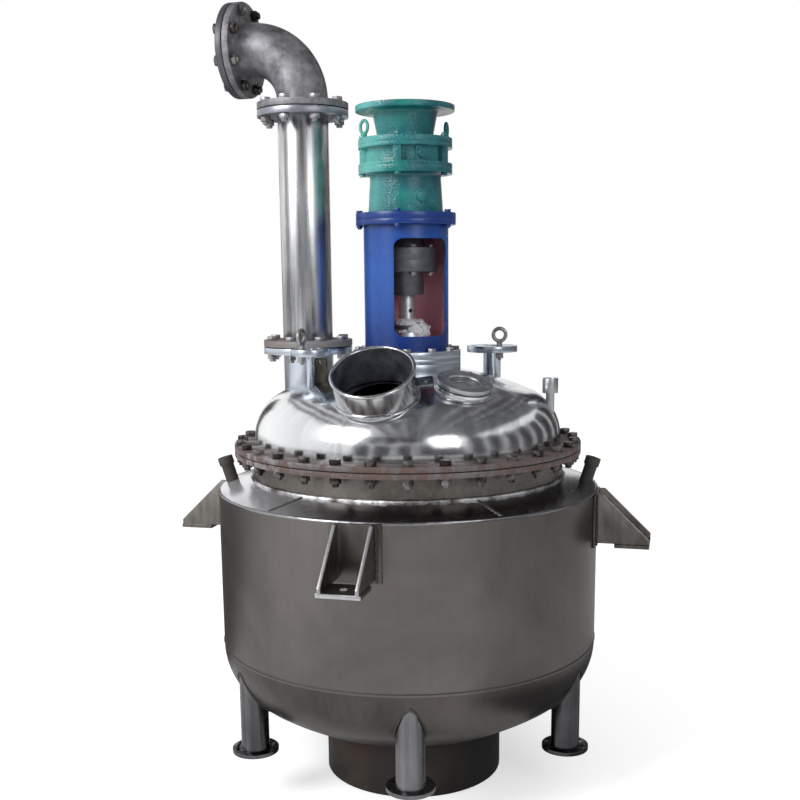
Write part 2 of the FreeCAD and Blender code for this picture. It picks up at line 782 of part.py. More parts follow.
def elbow_body():
    """Quarter bend with a short straight at each end, from the origin up and out along -X."""
    inner = vapour_r - vapour_wall
    ring = Part.Face(Part.Wire(Part.makeCircle(vapour_r, V(0, 0, elbow_rise))))
    core = Part.Face(Part.Wire(Part.makeCircle(inner, V(0, 0, elbow_rise))))
    axis_at = V(-elbow_bend_r, 0, elbow_rise)
    bend = ring.revolve(axis_at, V(0, -1, 0), 90).cut(core.revolve(axis_at, V(0, -1, 0), 90))
    rise = tube(vapour_r, inner, 0, elbow_rise)
    run = turned(tube(vapour_r, inner, 0, elbow_run), -90, axis=V(0, 1, 0))
    run.translate(V(-elbow_bend_r, 0, elbow_rise + elbow_bend_r))
    return bend.fuse([rise, run])


def on_outlet(shape):
    """Shape built upright at the origin, carried to the elbow's open end."""
    return moved(turned(shape, -90, axis=V(0, 1, 0)),
                 V(-elbow_bend_r - elbow_run, 0, elbow_rise + elbow_bend_r))


def at_vapour(shape, z=0.0):
    return moved(shape, V(vapour_x, vapour_y, z))


def vapour_line():
    """Nozzle, pipe, elbow and open end flange with their gaskets and bolts."""
    inner = vapour_r - vapour_wall
    neck = disc(vapour_r, lid_tangent_z, nozzle_flange_z, V(vapour_x, vapour_y, 0))
    neck = neck.cut([lid_envelope(), disc(inner, lid_tangent_z, pipe_low_z, V(vapour_x, vapour_y, 0))])
    nozzle = neck.fuse(at_vapour(pipe_plate(nozzle_flange_z)))
    seat = pipe_flange_thick
    pipe = tube(vapour_r, inner, pipe_low_z, pipe_top_z)
    pipe = pipe.fuse([pipe_plate(pipe_low_z), pipe_plate(pipe_top_z - seat)]).removeSplitter()
    elbow = elbow_body().fuse(turned(pipe_plate(0, vapour_r), elbow_turn))
    elbow = elbow.fuse(on_outlet(pipe_plate(-seat, vapour_r)))
    elbow = elbow.removeSplitter()
    upright = pipe_bolt_set(pipe_low_z - gasket_thick) + pipe_bolt_set(pipe_top_z)

    def placed(shape):
        return at_vapour(turned(shape, -elbow_turn), elbow_z)

    return {"vapour_nozzle": nozzle,
            "vapour_pipe": at_vapour(pipe),
            "vapour_elbow": placed(elbow),
            "outlet_flange": placed(on_outlet(pipe_plate(gasket_thick))),
            "pipe_gaskets": group([at_vapour(pipe_gasket(pipe_low_z - gasket_thick)),
                                   at_vapour(pipe_gasket(pipe_top_z)), placed(on_outlet(pipe_gasket(0)))]),
            "pipe_bolts": group([at_vapour(s) for s in upright]
                                + [placed(on_outlet(s)) for s in pipe_bolt_set(0)])}


def lid_pad():
    pad = tube(pad_r, pad_bore_r, lid_tangent_z, pad_top_z).cut(lid_envelope())
    low = pad_top_z - column_bolt_depth
    return drilled(pad, ring_of(column_bolt_count, column_bolt_circle_r), column_bolt_r, low, pad_top_z + 1)


def seal_housing():
    """Flange and stuffing box in one casting, with the shaft's bush bore."""
    top = column_foot_z + seal_body_height
    fillet = 6.0
    face = outline((shaft_r + run_gap, seal_flange_z), (pad_r, seal_flange_z), (pad_r, column_foot_z),
                   (seal_body_r + fillet, column_foot_z),
                   ((seal_body_r + 0.3 * fillet, column_foot_z + 0.3 * fillet),
                    (seal_body_r, column_foot_z + fillet)),
                   (seal_body_r, top), (gland_sleeve_r + 1.0, top),
                   (gland_sleeve_r + 1.0, top - gland_sleeve_depth - 4.0),
                   (shaft_r + run_gap, top - gland_sleeve_depth - 4.0))
    body = turned_solid(face)
    body = drilled(body, ring_of(column_bolt_count, column_bolt_circle_r), column_bolt_r + bolt_hole_gap,
                   seal_flange_z - 1, column_foot_z + 1)
    return drilled(body, ring_of(gland_stud_count, gland_stud_circle_r, 45.0), gland_stud_r,
                   top - gland_stud_seat, top + 1)


def gland_parts():
    """Gland with its sleeve in the stuffing box, its studs and nuts, and the loose wrap above it."""
    top = column_foot_z + seal_body_height
    low = top + gland_lift
    high = low + gland_thick
    bore = shaft_r + shaft_gap
    gland = tube(gland_r, bore, low, high).fuse(tube(gland_sleeve_r, bore, top - gland_sleeve_depth, low))
    centres = ring_of(gland_stud_count, gland_stud_circle_r, 45.0)
    gland = drilled(gland, centres, gland_stud_r + 0.5, low - 1, high + 1)
    shapes = []
    for centre in centres:
        shapes.append(disc(gland_stud_r, top - gland_stud_seat, top - gland_stud_seat + gland_stud_length
                           + gland_lift, centre))
        shapes.append(nut(gland_stud_r, gland_nut_af, high, high + gland_nut_height, centre))
    wrap_in = shaft_r + 2 * shaft_gap
    wrap_out = gland_stud_circle_r - gland_nut_af / math.sqrt(3.0) - 1.0
    wide = max(wrap_out, wrap_in + 3.0)
    wrap = turned_solid(outline((wrap_in, high), (wide, high), (wide, high + gland_nut_height + 1.0),
                                (wrap_r, high + gland_nut_height + 2.0),
                                ((wrap_r + 4.0, high + wrap_height * 0.7), (wrap_r - 6.0, high + wrap_height)),
                                (wrap_in, high + wrap_height)))
    return {"seal_gland": gland, "gland_studs": group(shapes), "seal_wrap": wrap}


def column_parts():
    """Column foot ring, windowed column with its head flange, and the adapter flange above."""
    foot = tube(pad_r, column_r - column_wall, column_foot_z, column_z)
    foot = drilled(foot, ring_of(column_bolt_count, column_bolt_circle_r), column_bolt_r + bolt_hole_gap,
                   column_foot_z - 1, column_z + 1)
    shell = tube(column_r, column_r - column_wall, column_z, column_head_z)
    head = tube(column_head_r, column_head_bore_r, column_head_z, adapter_z)
    window = Part.makeBox(window_width, 2 * column_r, window_height,
                          V(-window_width / 2, -2 * column_r, column_z + window_sill))
    corners = [e for e in window.Edges if abs(e.tangentAt(e.FirstParameter).y) > 0.99]
    window = window.makeFillet(window_corner_r, corners)
    column = shell.cut(turned(window, window_azimuth)).fuse(head).removeSplitter()
    centres = ring_of(post_count, foot_bolt_circle_r, post_azimuth)
    hole = foot_bolt_r + bolt_hole_gap
    column = drilled(column, centres, hole, column_head_z - 1, adapter_z + 1)
    adapter = tube(column_head_r, adapter_bore_r, adapter_z, base_z)
    adapter = drilled(adapter, centres, hole, adapter_z - 1, base_z + 1)
    foot_bolts = [bolt(column_bolt_r, column_bolt_af, column_bolt_head, column_z,
                       pad_top_z - column_bolt_depth, c) for c in
                  ring_of(column_bolt_count, column_bolt_circle_r)]
    head_bolts = []
    for c in centres:
        head_bolts.append(bolt(foot_bolt_r, foot_bolt_af, foot_bolt_head, base_z,
                               column_head_z - foot_bolt_head - 4.0, c))
        head_bolts.append(nut(foot_bolt_r, foot_bolt_af, column_head_z - foot_bolt_head, column_head_z, c))
    return {"column_foot": foot, "column": column, "adapter_flange": adapter,
            "column_bolts": group(foot_bolts + head_bolts)}


def radial_box(width, r0, r1, z0, z1, azimuth):
    box = Part.makeBox(width, r1 - r0, z1 - z0, V(-width / 2, -r1, z0))
    return turned(box, azimuth)


def radial_disc(radius, r0, r1, z, azimuth, side=0.0):
    return turned(Part.makeCylinder(radius, r1 - r0, V(side, -r0, z), V(0, -1, 0)), azimuth)


def reducer_parts():
    """Base, ring body and cover of the reducer, held by long bolts through their posts."""
    bolt_centres = ring_of(post_count, reducer_bolt_circle_r, post_azimuth)
    ring_low = base_z + base_height
    step = base_ring_step
    base = turned_solid(outline((shaft_r + run_gap, base_z), (base_foot_r, base_z),
                                (base_top_r, ring_low - step),
                                ((base_top_r + 0.3 * step, ring_low - 0.3 * step), (base_top_r + step, ring_low)),
                                (ring_r, ring_low), (ring_r, body_z), (0, body_z),
                                (0, base_z + output_shaft_depth), (shaft_r + run_gap, base_z + output_shaft_depth)))
    drain_z = base_z + drain_pad_height
    pad = radial_box(drain_pad_width, base_top_r / 2, drain_pad_r, base_z, drain_z, plug_azimuth)
    pad = pad.fuse(radial_disc(drain_pad_width / 2, base_top_r / 2, drain_pad_r, drain_z, plug_azimuth))
    base = base.fuse(pad)
    base = drilled(base, bolt_centres, reducer_bolt_r, ring_low - 1, body_z + 1)
    low = body_z + body_ring_low
    high = low + body_height
    body = turned_solid(outline((0, body_z), (ring_r, body_z), (ring_r, low), (body_r, low), (body_r, high),
                                (ring_r, high), (ring_r, body_top_z), (0, body_top_z)))
    for i in range(post_count):
        body = body.fuse(radial_box(post_width, body_r - 20.0, post_r, low, high,
                                    post_azimuth + 360.0 * i / post_count))
    middle = (low + high) / 2
    panel = radial_box(plug_pad_width, body_r / 2, body_r + plug_pad_step, low, high, plug_pad_azimuth)
    body = drilled(body.fuse(panel), bolt_centres, reducer_bolt_r, body_z - 1, body_top_z + 1)
    rim = motor_flange_z - motor_fillet_r
    bearing = sleeve_r + run_gap
    cover = turned_solid(outline((0, body_top_z), (ring_r, body_top_z), (ring_r, cover_ring_top_z),
                                 (neck_low_r + 6.0, cover_ring_top_z), (neck_low_r, cover_ring_top_z + 8.0),
                                 (neck_top_r, rim),
                                 ((neck_top_r + 0.3 * motor_fillet_r, motor_flange_z - 0.3 * motor_fillet_r),
                                  (neck_top_r + motor_fillet_r, motor_flange_z)),
                                 (motor_flange_r, motor_flange_z), (motor_flange_r, motor_face_z),
                                 (motor_spigot_r, motor_face_z),
                                 (motor_spigot_r, motor_face_z - motor_spigot_depth),
                                 (pocket_r, motor_face_z - motor_spigot_depth), (pocket_r, pocket_z),
                                 (bearing, pocket_z), (bearing, sleeve_z - 1.0), (0, sleeve_z - 1.0)))
    cover = drilled(cover, ring_of(motor_holes, motor_pcd / 2, 45.0), motor_hole_r, motor_flange_z - 1,
                    motor_face_z + 1)
    cover = drilled(cover, bolt_centres, reducer_bolt_r, body_top_z - 1, cover_ring_top_z + 1)
    bolts = []
    for c in bolt_centres:
        end = cover_ring_top_z + reducer_bolt_head + 5.0
        bolts.append(bolt(reducer_bolt_r, reducer_bolt_af, reducer_bolt_head, ring_low, end, c))
        bolts.append(nut(reducer_bolt_r, reducer_bolt_af, cover_ring_top_z,
                         cover_ring_top_z + reducer_bolt_head, c))
    plugs = [radial_disc(plug_r, body_r + plug_pad_step, body_r + plug_pad_step + plug_head, middle,
                         plug_pad_azimuth, plug_offset),
             radial_disc(plug_r, drain_pad_r, drain_pad_r + plug_head, drain_z, plug_azimuth)]
    eyes = [eye_bolt(lifting_eye_ring_r + lifting_eye_wire_r, lifting_eye_wire_r, collar, cover_ring_top_z,
                     cover_ring_top_z - 15.0, turn, polar(lifting_eye_circle_r, azimuth))
            for azimuth, turn, collar in zip(lifting_eye_azimuths, lifting_eye_turns, lifting_eye_collars)]
    cover = drilled(cover, [polar(lifting_eye_circle_r, a) for a in lifting_eye_azimuths], eye_shank_r,
                    cover_ring_top_z - 15.0, cover_ring_top_z + 1)
    return {"reducer_base": base, "reducer_body": body, "reducer_cover": cover,
            "reducer_bolts": group(bolts), "reducer_plugs": group(plugs), "lifting_eyes": group(eyes)}


def stirrer_parts():
    """Output shaft, split flange coupling, stirrer shaft and anchor, which turn together."""
    high = coupling_z + coupling_disc_thick
    low = coupling_z - coupling_disc_thick
    output = disc(shaft_r, coupling_z, base_z + output_shaft_depth - 2.0)
    centres = ring_of(coupling_bolt_count, coupling_bolt_circle_r, 15.0)
    upper = tube(coupling_r, shaft_r, coupling_z, high).fuse(
        tube(coupling_hub_r, shaft_r, high, high + coupling_hub_length))
    lower = tube(coupling_r, shaft_r, low, coupling_z).fuse(
        tube(coupling_hub_r, shaft_r, low - coupling_hub_length, low))
    upper = drilled(upper, centres, coupling_bolt_r, coupling_z - 1, high + 1)
    lower = drilled(lower, centres, coupling_bolt_r, low - 1, coupling_z + 1)
    bolts = []
    for c in centres:
        end = low - coupling_bolt_head - 3.0
        bolts.append(bolt(coupling_bolt_r, coupling_bolt_af, coupling_bolt_head, high, end, c))
        bolts.append(nut(coupling_bolt_r, coupling_bolt_af, low - coupling_bolt_head, low, c))
    pole = vessel_tangent_z - dish_height(vessel_r, vessel_crown_r, vessel_knuckle_r, 0.0) + vessel_wall
    blade_low = pole + anchor_gap
    shaft = disc(shaft_r, blade_low + anchor_width, coupling_z)
    sweep = dish_solid(anchor_r, vessel_crown_r - vessel_wall - anchor_gap,
                       vessel_knuckle_r - vessel_wall - anchor_gap, vessel_tangent_z, -1.0,
                       anchor_top_z - vessel_tangent_z)
    inner_crown = vessel_crown_r - vessel_wall - anchor_gap - anchor_width
    crown_z = vessel_tangent_z + math.sqrt((vessel_crown_r - vessel_knuckle_r) ** 2
                                           - (vessel_r - vessel_knuckle_r) ** 2)
    inside = Part.makeSphere(inner_crown, V(0, 0, crown_z)).common(
        disc(anchor_r - anchor_width, blade_low, anchor_top_z + 1))
    slab = Part.makeBox(2 * vessel_r, anchor_thick, vessel_r * 3, V(-vessel_r, -anchor_thick / 2, 0))
    blade = sweep.common(slab).cut(inside)
    bar = Part.makeBox(2 * (anchor_r - anchor_width) + 10.0, anchor_thick, anchor_bar_height,
                       V(-(anchor_r - anchor_width) - 5.0, -anchor_thick / 2, anchor_bar_z))
    bar_hub = disc(anchor_hub_r, anchor_bar_z - 25.0, anchor_bar_z + anchor_bar_height + 25.0)
    hub = disc(anchor_hub_r, blade_low - anchor_hub_drop, blade_low + anchor_hub_height)
    anchor = blade.fuse([bar, bar_hub, hub])
    anchor = anchor.cut(disc(shaft_r, blade_low + anchor_width, anchor_top_z))
    return {"output_shaft": output, "coupling_upper": upper, "coupling_lower": lower,
            "coupling_bolts": group(bolts), "stirrer_shaft": shaft, "anchor": anchor}


def input_sleeve():
    """Hollow input shaft for the motor, in the cover's bearing bore."""
    top = sleeve_z + sleeve_length
    return disc(sleeve_r, sleeve_z, top).cut(disc(sleeve_bore_r, top - sleeve_bore_depth, top + 1))


def build():
    parts = {}
    parts.update(jacket_parts())
    for name, azimuth in stub_azimuths.items():
        parts[name] = jacket_stub(azimuth)
    parts["inner_vessel"] = inner_vessel()
    parts["outlet_nozzle"] = outlet_nozzle()
    parts["support_skirt"] = support_skirt()
    for i, name in enumerate(leg_names):
        parts[name] = leg(360.0 * i / len(leg_names))
    parts["side_lugs"] = group([side_lug(lug_azimuth + 360.0 * i / lug_count) for i in range(lug_count)])
    parts.update(closure())
    parts["lid_dome"] = lid_dome()
    parts["manhole_neck"] = manhole_neck()
    parts.update(manhole_brackets())
    parts.update(sight_glass())
    parts["feed_nozzle"] = small_nozzle(feed_azimuth, feed_circle_r, feed_r, feed_wall, feed_flange_r,
                                        feed_flange_z, feed_pcd, feed_hole_r, feed_eye_azimuth)
    parts["gauge_nozzle"] = small_nozzle(gauge_azimuth, gauge_circle_r, gauge_r, gauge_wall, gauge_flange_r,
                                         gauge_flange_z, gauge_pcd, gauge_hole_r, gauge_eye_azimuth)
    parts["nozzle_eye_bolts"] = nozzle_eye_bolts()
    parts["probe_socket"] = probe_socket()
    parts.update(vapour_line())
    parts["lid_pad"] = lid_pad()
    parts["seal_housing"] = seal_housing()
    parts.update(gland_parts())
    parts.update(column_parts())
    parts.update(reducer_parts())
    parts.update(stirrer_parts())
    parts["input_sleeve"] = input_sleeve()
    return parts


def export(parts):
    os.makedirs("parts", exist_ok=True)
    for name, shape in parts.items():
        shape.exportStep("parts/" + name + ".step")
        print(name, len(shape.Solids), shape.isValid(), round(shape.Volume / 1000.0, 1))


export(build())
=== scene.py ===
import math

import bmesh
import bpy
from mathutils import Matrix, Vector, noise


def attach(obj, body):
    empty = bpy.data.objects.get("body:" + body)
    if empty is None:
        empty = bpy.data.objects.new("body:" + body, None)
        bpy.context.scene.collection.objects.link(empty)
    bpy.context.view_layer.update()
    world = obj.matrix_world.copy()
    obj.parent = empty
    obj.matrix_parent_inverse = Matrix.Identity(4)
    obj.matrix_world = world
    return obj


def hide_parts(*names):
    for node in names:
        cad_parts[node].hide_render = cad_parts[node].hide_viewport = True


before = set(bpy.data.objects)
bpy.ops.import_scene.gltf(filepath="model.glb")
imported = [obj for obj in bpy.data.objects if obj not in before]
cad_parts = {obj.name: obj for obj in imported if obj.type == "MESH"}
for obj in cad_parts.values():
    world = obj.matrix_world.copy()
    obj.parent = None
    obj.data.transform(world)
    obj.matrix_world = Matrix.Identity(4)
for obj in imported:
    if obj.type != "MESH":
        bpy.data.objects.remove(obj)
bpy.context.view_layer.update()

# Support skirt.
# An open rolled ring of mild steel under the bottom head, welded round its top edge. It stands on
# the floor and was left to rust: dark with brown patches, and right of the middle painted almost
# black as painted shade.


class Wire:
    """A shader socket in an expression: each sign adds its Math node."""

    def __init__(self, finish, socket):
        self.finish = finish
        self.socket = socket

    def __add__(self, other):
        return self.finish.node("Math", {"operation": "ADD"}, self, other)

    def __sub__(self, other):
        return self.finish.node("Math", {"operation": "SUBTRACT"}, self, other)

    def __rsub__(self, other):
        return self.finish.node("Math", {"operation": "SUBTRACT"}, other, self)

    def __mul__(self, other):
        return self.finish.node("Math", {"operation": "MULTIPLY"}, self, other)

    __radd__ = __add__
    __rmul__ = __mul__


class Finish:
    """A surface finish on one Principled shader, patterned in the part's own coordinates."""

    def __init__(self, name, colour, roughness, metallic=0.0):
        self.material = bpy.data.materials.new(name)
        self.material.use_nodes = True
        self.tree = self.material.node_tree
        self.shader = self.tree.nodes["Principled BSDF"]
        self.set("Base Color", (*colour, 1.0))
        self.set("Roughness", roughness)
        self.set("Metallic", metallic)
        self.place = self.node("TexCoord", {"out": "Object"})

    def feed(self, socket, value):
        """Links a wire to a socket, or sets the socket to a value."""
        if isinstance(value, Wire):
            self.tree.links.new(value.socket, socket)
        else:
            socket.default_value = value

    def set(self, name, value):
        """Sets one of the shader's sockets to a value or a link."""
        self.feed(self.shader.inputs[name], value)

    def node(self, kind, settings, *values, **named):
        """Adds a node with its settings and the values of its sockets, and gives one output."""
        node = self.tree.nodes.new("ShaderNode" + kind)
        out = settings.pop("out", 0)
        for key, value in settings.items():
            setattr(node, key, value)
        for key, value in [*enumerate(values), *named.items()]:
            self.feed(node.inputs[key], value)
        return Wire(self, node.outputs[out])

    def noise(self, scale, detail=3.0, roughness=0.5, stretch=None, warp=0.0):
        """Noise from 0 to 1 with that many features in a metre."""
        where = self.node("Mapping", {}, Vector=self.place, Scale=stretch) if stretch else self.place
        return self.node("TexNoise", {}, Vector=where, Scale=scale, Detail=detail,
                         Roughness=roughness, Distortion=warp)

    def steps(self, value, *stops):
        """Ramp of grey levels, given as (position, level)."""
        ramp = self.node("ValToRGB", {}, value)
        elements = ramp.socket.node.color_ramp.elements
        while len(elements) < len(stops):
            elements.new(1.0)
        for element, (position, level) in zip(elements, stops):
            element.position = position
            element.color = (level, level, level, 1.0)
        return ramp

    def patches(self, low, high, *settings, **named):
        """Noise with those settings as patches: 0 below the low level, 1 above the high one."""
        return self.steps(self.noise(*settings, **named), (low, 0.0), (high, 1.0))

    def blend(self, mask, low, high):
        """Colour that goes from low to high with the mask."""
        node = self.tree.nodes.new("ShaderNodeMix")
        node.data_type = "RGBA"
        for index, value in ((0, mask), (6, low), (7, high)):
            self.feed(node.inputs[index], (*value, 1.0) if isinstance(value, tuple) else value)
        return Wire(self, node.outputs[2])

    def paint(self, mask, low, high):
        """Blend of two colours as the surface's own."""
        self.set("Base Color", self.blend(mask, low, high))

    def coordinate(self, axis):
        """Place along one axis, 0 to 2 for x to z, in metres."""
        return self.node("SeparateXYZ", {"out": axis}, self.place)

    def leftness(self, full, none):
        """Mask that is 1 left of one x and 0 right of the other, in metres."""
        return self.steps(self.coordinate(0) + 0.5, (full + 0.5, 1.0), (none + 0.5, 0.0))

    def height(self, value, depth, strength=1.0):
        """Relief of that depth in metres, on the shader's Normal."""
        self.set("Normal", self.node("Bump", {}, Strength=strength, Distance=depth, Height=value))


def rusted(name, dark, rust, amount):
    """Matt steel with rust in patches, pitted and powdery where the rust is."""
    finish = Finish(name, dark, 0.7)
    patches = finish.patches(1.0 - amount - 0.12, 1.0 - amount + 0.12, 6.5, 6.0, 0.62)
    specks = finish.noise(208.0, 5.0, 0.7)
    finish.paint(patches * (0.5 + specks * 0.7), dark, rust)
    finish.set("Roughness", 0.55 + patches * 0.3)
    finish.set("Metallic", (1 - patches) * 0.35)
    finish.height(specks + patches * 0.6, 0.0012, 0.7)
    return finish


mm = 0.001
sharp_corner = math.radians(32)


def spun(profile, steps=128):
    """Closed outline of (radius, height) in millimetres, turned once about the upright axis."""
    bm = bmesh.new()
    corners = [bm.verts.new((r, 0.0, z)) for r, z in profile]
    sides = [bm.edges.new(pair) for pair in zip(corners, corners[1:] + corners[:1])]
    bmesh.ops.spin(bm, geom=corners + sides, cent=(0, 0, 0), axis=(0, 0, 1), angle=math.tau,
                   steps=steps, use_merge=True)
    bmesh.ops.remove_doubles(bm, verts=bm.verts, dist=1e-4)
    bmesh.ops.dissolve_degenerate(bm, dist=1e-4, edges=bm.edges)
    bmesh.ops.recalc_face_normals(bm, faces=bm.faces)
    return bm


def eased(bm, width, segments=2):
    """Takes the sharpness off every edge that turns by more than 35 degrees."""
    least = math.radians(35.0)
    edges = [e for e in bm.edges if len(e.link_faces) == 2 and e.calc_face_angle(0) > least]
    bmesh.ops.bevel(bm, geom=edges, offset=width, segments=segments, profile=0.5, affect="EDGES",
                    material=-1, clamp_overlap=True)
    return bm


def ring(outer, inner, low, high, edge=1.0, steps=128):
    """Flat ring or tube with eased edges."""
    return eased(spun([(outer, low), (outer, high), (inner, high), (inner, low)], steps), edge)


def moved(bm, matrix):
    """Moves a bmesh in place and hands it on."""
    bmesh.ops.transform(bm, matrix=matrix, verts=bm.verts)
    return bm


def meshed(bm, name):
    """Mesh with the bmesh's shape. The bmesh is let go."""
    mesh = bpy.data.meshes.new(name)
    bm.to_mesh(mesh)
    bm.free()
    return mesh


def joined(*meshes):
    """One bmesh of several: each of the others is added to the first."""
    whole = meshes[0]
    for other in meshes[1:]:
        spare = meshed(other, "spare")
        whole.from_mesh(spare)
        bpy.data.meshes.remove(spare)
    return whole


def placed(name, data):
    """Object of the data, linked to the scene."""
    thing = bpy.data.objects.new(name, data)
    bpy.context.scene.collection.objects.link(thing)
    return thing


def fitted(bm, name, finish, slot, *nodes, body="reactor"):
    """Makes the piece in metres, smooth but for its corners, on its body, in place of its nodes."""
    bmesh.ops.scale(bm, vec=(mm, mm, mm), verts=bm.verts)
    mesh = meshed(bm, name)
    mesh.materials.append(finish.material)
    mesh.shade_smooth()
    mesh.set_sharp_from_angle(angle=sharp_corner)
    piece = placed(name, mesh)
    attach(piece, body)
    if nodes:
        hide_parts(*nodes)
    return piece


skirt_outer = 286.0
skirt_inner = 280.0
skirt_top = 166.0
skirt_shift = 12.0
skirt_black = (0.022, 0.017, 0.015)
skirt_brown = (0.046, 0.027, 0.017)
skirt_finish = rusted("rusty_skirt_painted_shade", skirt_black, skirt_brown, 0.5)
skirt_patches = skirt_finish.patches(0.4, 0.64, 6.5, 6.0, 0.62)
skirt_rust = skirt_finish.blend(skirt_patches, skirt_black, skirt_brown)
# Right of the middle the colour goes to almost black: painted shade.
skirt_finish.paint(skirt_finish.leftness(-0.05, 0.2), (0.006, 0.005, 0.0045), skirt_rust)
skirt = spun([(skirt_outer, 0.0), (skirt_outer, skirt_top),
              (skirt_inner, skirt_top - 1.0), (skirt_inner, 0.0)], 160)
skirt = moved(eased(skirt, 1.2), Matrix.Translation((skirt_shift, 0.0, 0.0)))
fitted(skirt, "skirt_ring", skirt_finish, "skirt_steel", "support_skirt")


# Jacket bottom.
# A dished head pressed from stainless plate, ground after welding: satin, browner than the wall,
# with soft blotches and faint scratches.


def dished(radius, crown, knuckle, tangent, up, hole, fine):
    """Half outline of a dished end, from its straight edge to the hole at its pole."""
    side = radius - knuckle
    drop = math.sqrt((crown - knuckle) ** 2 - side ** 2)
    turn = math.atan2(side, drop)
    points = []
    for i in range(fine // 2 + 1):
        a = math.pi / 2 + (turn - math.pi / 2) * i / (fine // 2)
        points.append((side + knuckle * math.sin(a), tangent + up * knuckle * math.cos(a)))
    end = math.asin(hole / crown)
    for i in range(1, fine + 1):
        a = turn + (end - turn) * i / fine
        points.append((crown * math.sin(a), tangent + up * (crown * math.cos(a) - drop)))
    return points


def dished_shell(radius, wall, crown, knuckle, tangent, up, hole, fine=40):
    """Outline of a dished end with its wall: down its outside and back along its inside."""
    outside = dished(radius, crown, knuckle, tangent, up, hole, fine)
    inside = dished(radius - wall, crown - wall, knuckle - wall, tangent, up, hole, fine)
    return outside + inside[::-1]


def dished_height(radius, crown, knuckle, at):
    """Rise of a dished end over its straight edge, at a distance from its axis."""
    side = radius - knuckle
    if at > crown * side / (crown - knuckle):
        return math.sqrt(max(knuckle ** 2 - (at - side) ** 2, 0.0))
    return math.sqrt(crown ** 2 - at ** 2) - math.sqrt((crown - knuckle) ** 2 - side ** 2)


def rolled_steel(name, light, dark, roughness, grain=(1.0, 1.0, 1.0), lined=0.35):
    """Stainless plate: cloudy tone, fine rolling lines along the grain, and a few scratches."""
    finish = Finish(name, light, roughness, 1.0)
    clouds = finish.noise(2.2, 5.0, 0.6, warp=0.6)
    lines = finish.noise(60.0, 4.0, 0.6, stretch=grain)
    scratches = finish.patches(0.68, 0.71, 9.0, 2.0, 0.4, stretch=(1.0, 1.0, 26.0), warp=2.0)
    tone = finish.steps(clouds * (1.1 - lined) + lines * lined, (0.35, 0.0), (0.75, 1.0))
    finish.paint(tone, dark, light)
    finish.set("Roughness", roughness + clouds * 0.12 - 0.06 + lines * 0.06 + scratches * 0.08)
    finish.height(lines * 0.5 + scratches * 0.3, 0.0002, 0.35)
    return finish


jacket_r = 600.0
jacket_wall = 8.0
jacket_inner = jacket_r - jacket_wall
jacket_crown = 900.0
jacket_knuckle = 200.0
jacket_low = 450.0
jacket_high = 944.0
head_hole = 44.5
head_finish = rolled_steel("satin_head", (0.135, 0.122, 0.113), (0.05, 0.045, 0.041), 0.34,
                           (1.0, 1.0, 0.15), 0.15)
head = dished_shell(jacket_r, jacket_wall, jacket_crown, jacket_knuckle, jacket_low, -1.0, head_hole)
fitted(spun(head, 256), "jacket_bottom", head_finish, "jacket_steel", "jacket_head")


# Bottom outlet.
# A flanged pipe from the inner vessel down through the jacket and out inside the skirt, where the
# bottom valve is bolted on.


def dressed(node, name, finish, slot, edge=0.8, body="reactor"):
    """The solid piece itself, merged and with its edges eased, in place of its node."""
    bm = bmesh.new()
    bm.from_mesh(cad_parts[node].data)
    bmesh.ops.scale(bm, vec=(1000.0, 1000.0, 1000.0), verts=bm.verts)
    bmesh.ops.remove_doubles(bm, verts=bm.verts, dist=0.01)
    bmesh.ops.dissolve_limit(bm, angle_limit=math.radians(0.4), verts=bm.verts, edges=bm.edges)
    if edge:
        eased(bm, edge)
    return fitted(bm, name, finish, slot, node, body=body)


neck_finish = rolled_steel("neck_steel", (0.25, 0.235, 0.22), (0.085, 0.072, 0.062), 0.36, lined=0.3)
dressed("outlet_nozzle", "bottom_outlet", neck_finish, "vessel_steel")


# Legs.
# Six stainless pipes, cut at the top to fit the bottom head and welded to round foot plates with
# bolt holes. The one at the front on the right has a darker copy of the finish, painted shade.

leg_grain = (1.0, 1.0, 0.06)
leg_finish = rolled_steel("leg_steel", (0.27, 0.27, 0.28), (0.06, 0.06, 0.065), 0.22, leg_grain)
# Darker copy of the leg finish, for the front right leg: painted shade.
shaded_leg_finish = rolled_steel("shaded_leg_steel", (0.13, 0.13, 0.14), (0.02, 0.02, 0.023), 0.25,
                               leg_grain)
for leg in ("leg_front", "leg_front_right", "leg_back_right", "leg_back", "leg_back_left",
            "leg_front_left"):
    finish = shaded_leg_finish if leg == "leg_front_right" else leg_finish
    dressed(leg, leg + "_pipe", finish, "leg_steel")


# Jacket wall.
# Two rolled plates welded into a barrel. Satin stainless with upright polishing lines and a cloudy
# warm grey tone.

wall_finish = rolled_steel("satin_wall", (0.185, 0.17, 0.16), (0.105, 0.097, 0.093), 0.34,
                           (1.0, 1.0, 0.04), 0.12)
barrel = [(jacket_r, jacket_low), (jacket_r, jacket_high),
          (jacket_inner, jacket_high), (jacket_inner, jacket_low)]
fitted(spun(barrel, 256), "jacket_wall", wall_finish, "jacket_steel", "jacket_shell")


# Shoulder.
# A flat cone of plate from the barrel in to the neck, painted bright on the left as a painted
# highlight, with weld beads round both edges and across its joints. The bead on the barrel's edge
# and one line of each joint are bright metal, a painted highlight. The beads round the head and the
# tops of the legs follow.


def bead(points, thick, name, finish, closed=True):
    """Weld bead: a round strip laid along points in millimetres."""
    curve = bpy.data.curves.new(name, "CURVE")
    curve.dimensions = "3D"
    curve.bevel_depth = thick
    curve.bevel_resolution = 2
    spline = curve.splines.new("POLY")
    spline.points.add(len(points) - 1)
    for spot, point in zip(spline.points, points):
        spot.co = (*point, 1.0)
    spline.use_cyclic_u = closed
    strip = bpy.data.objects.new(name, curve)
    mesh = bpy.data.meshes.new_from_object(strip)
    bm = bmesh.new()
    bm.from_mesh(mesh)
    bpy.data.objects.remove(strip)
    bpy.data.meshes.remove(mesh)
    return fitted(bm, name, finish, "jacket_steel")


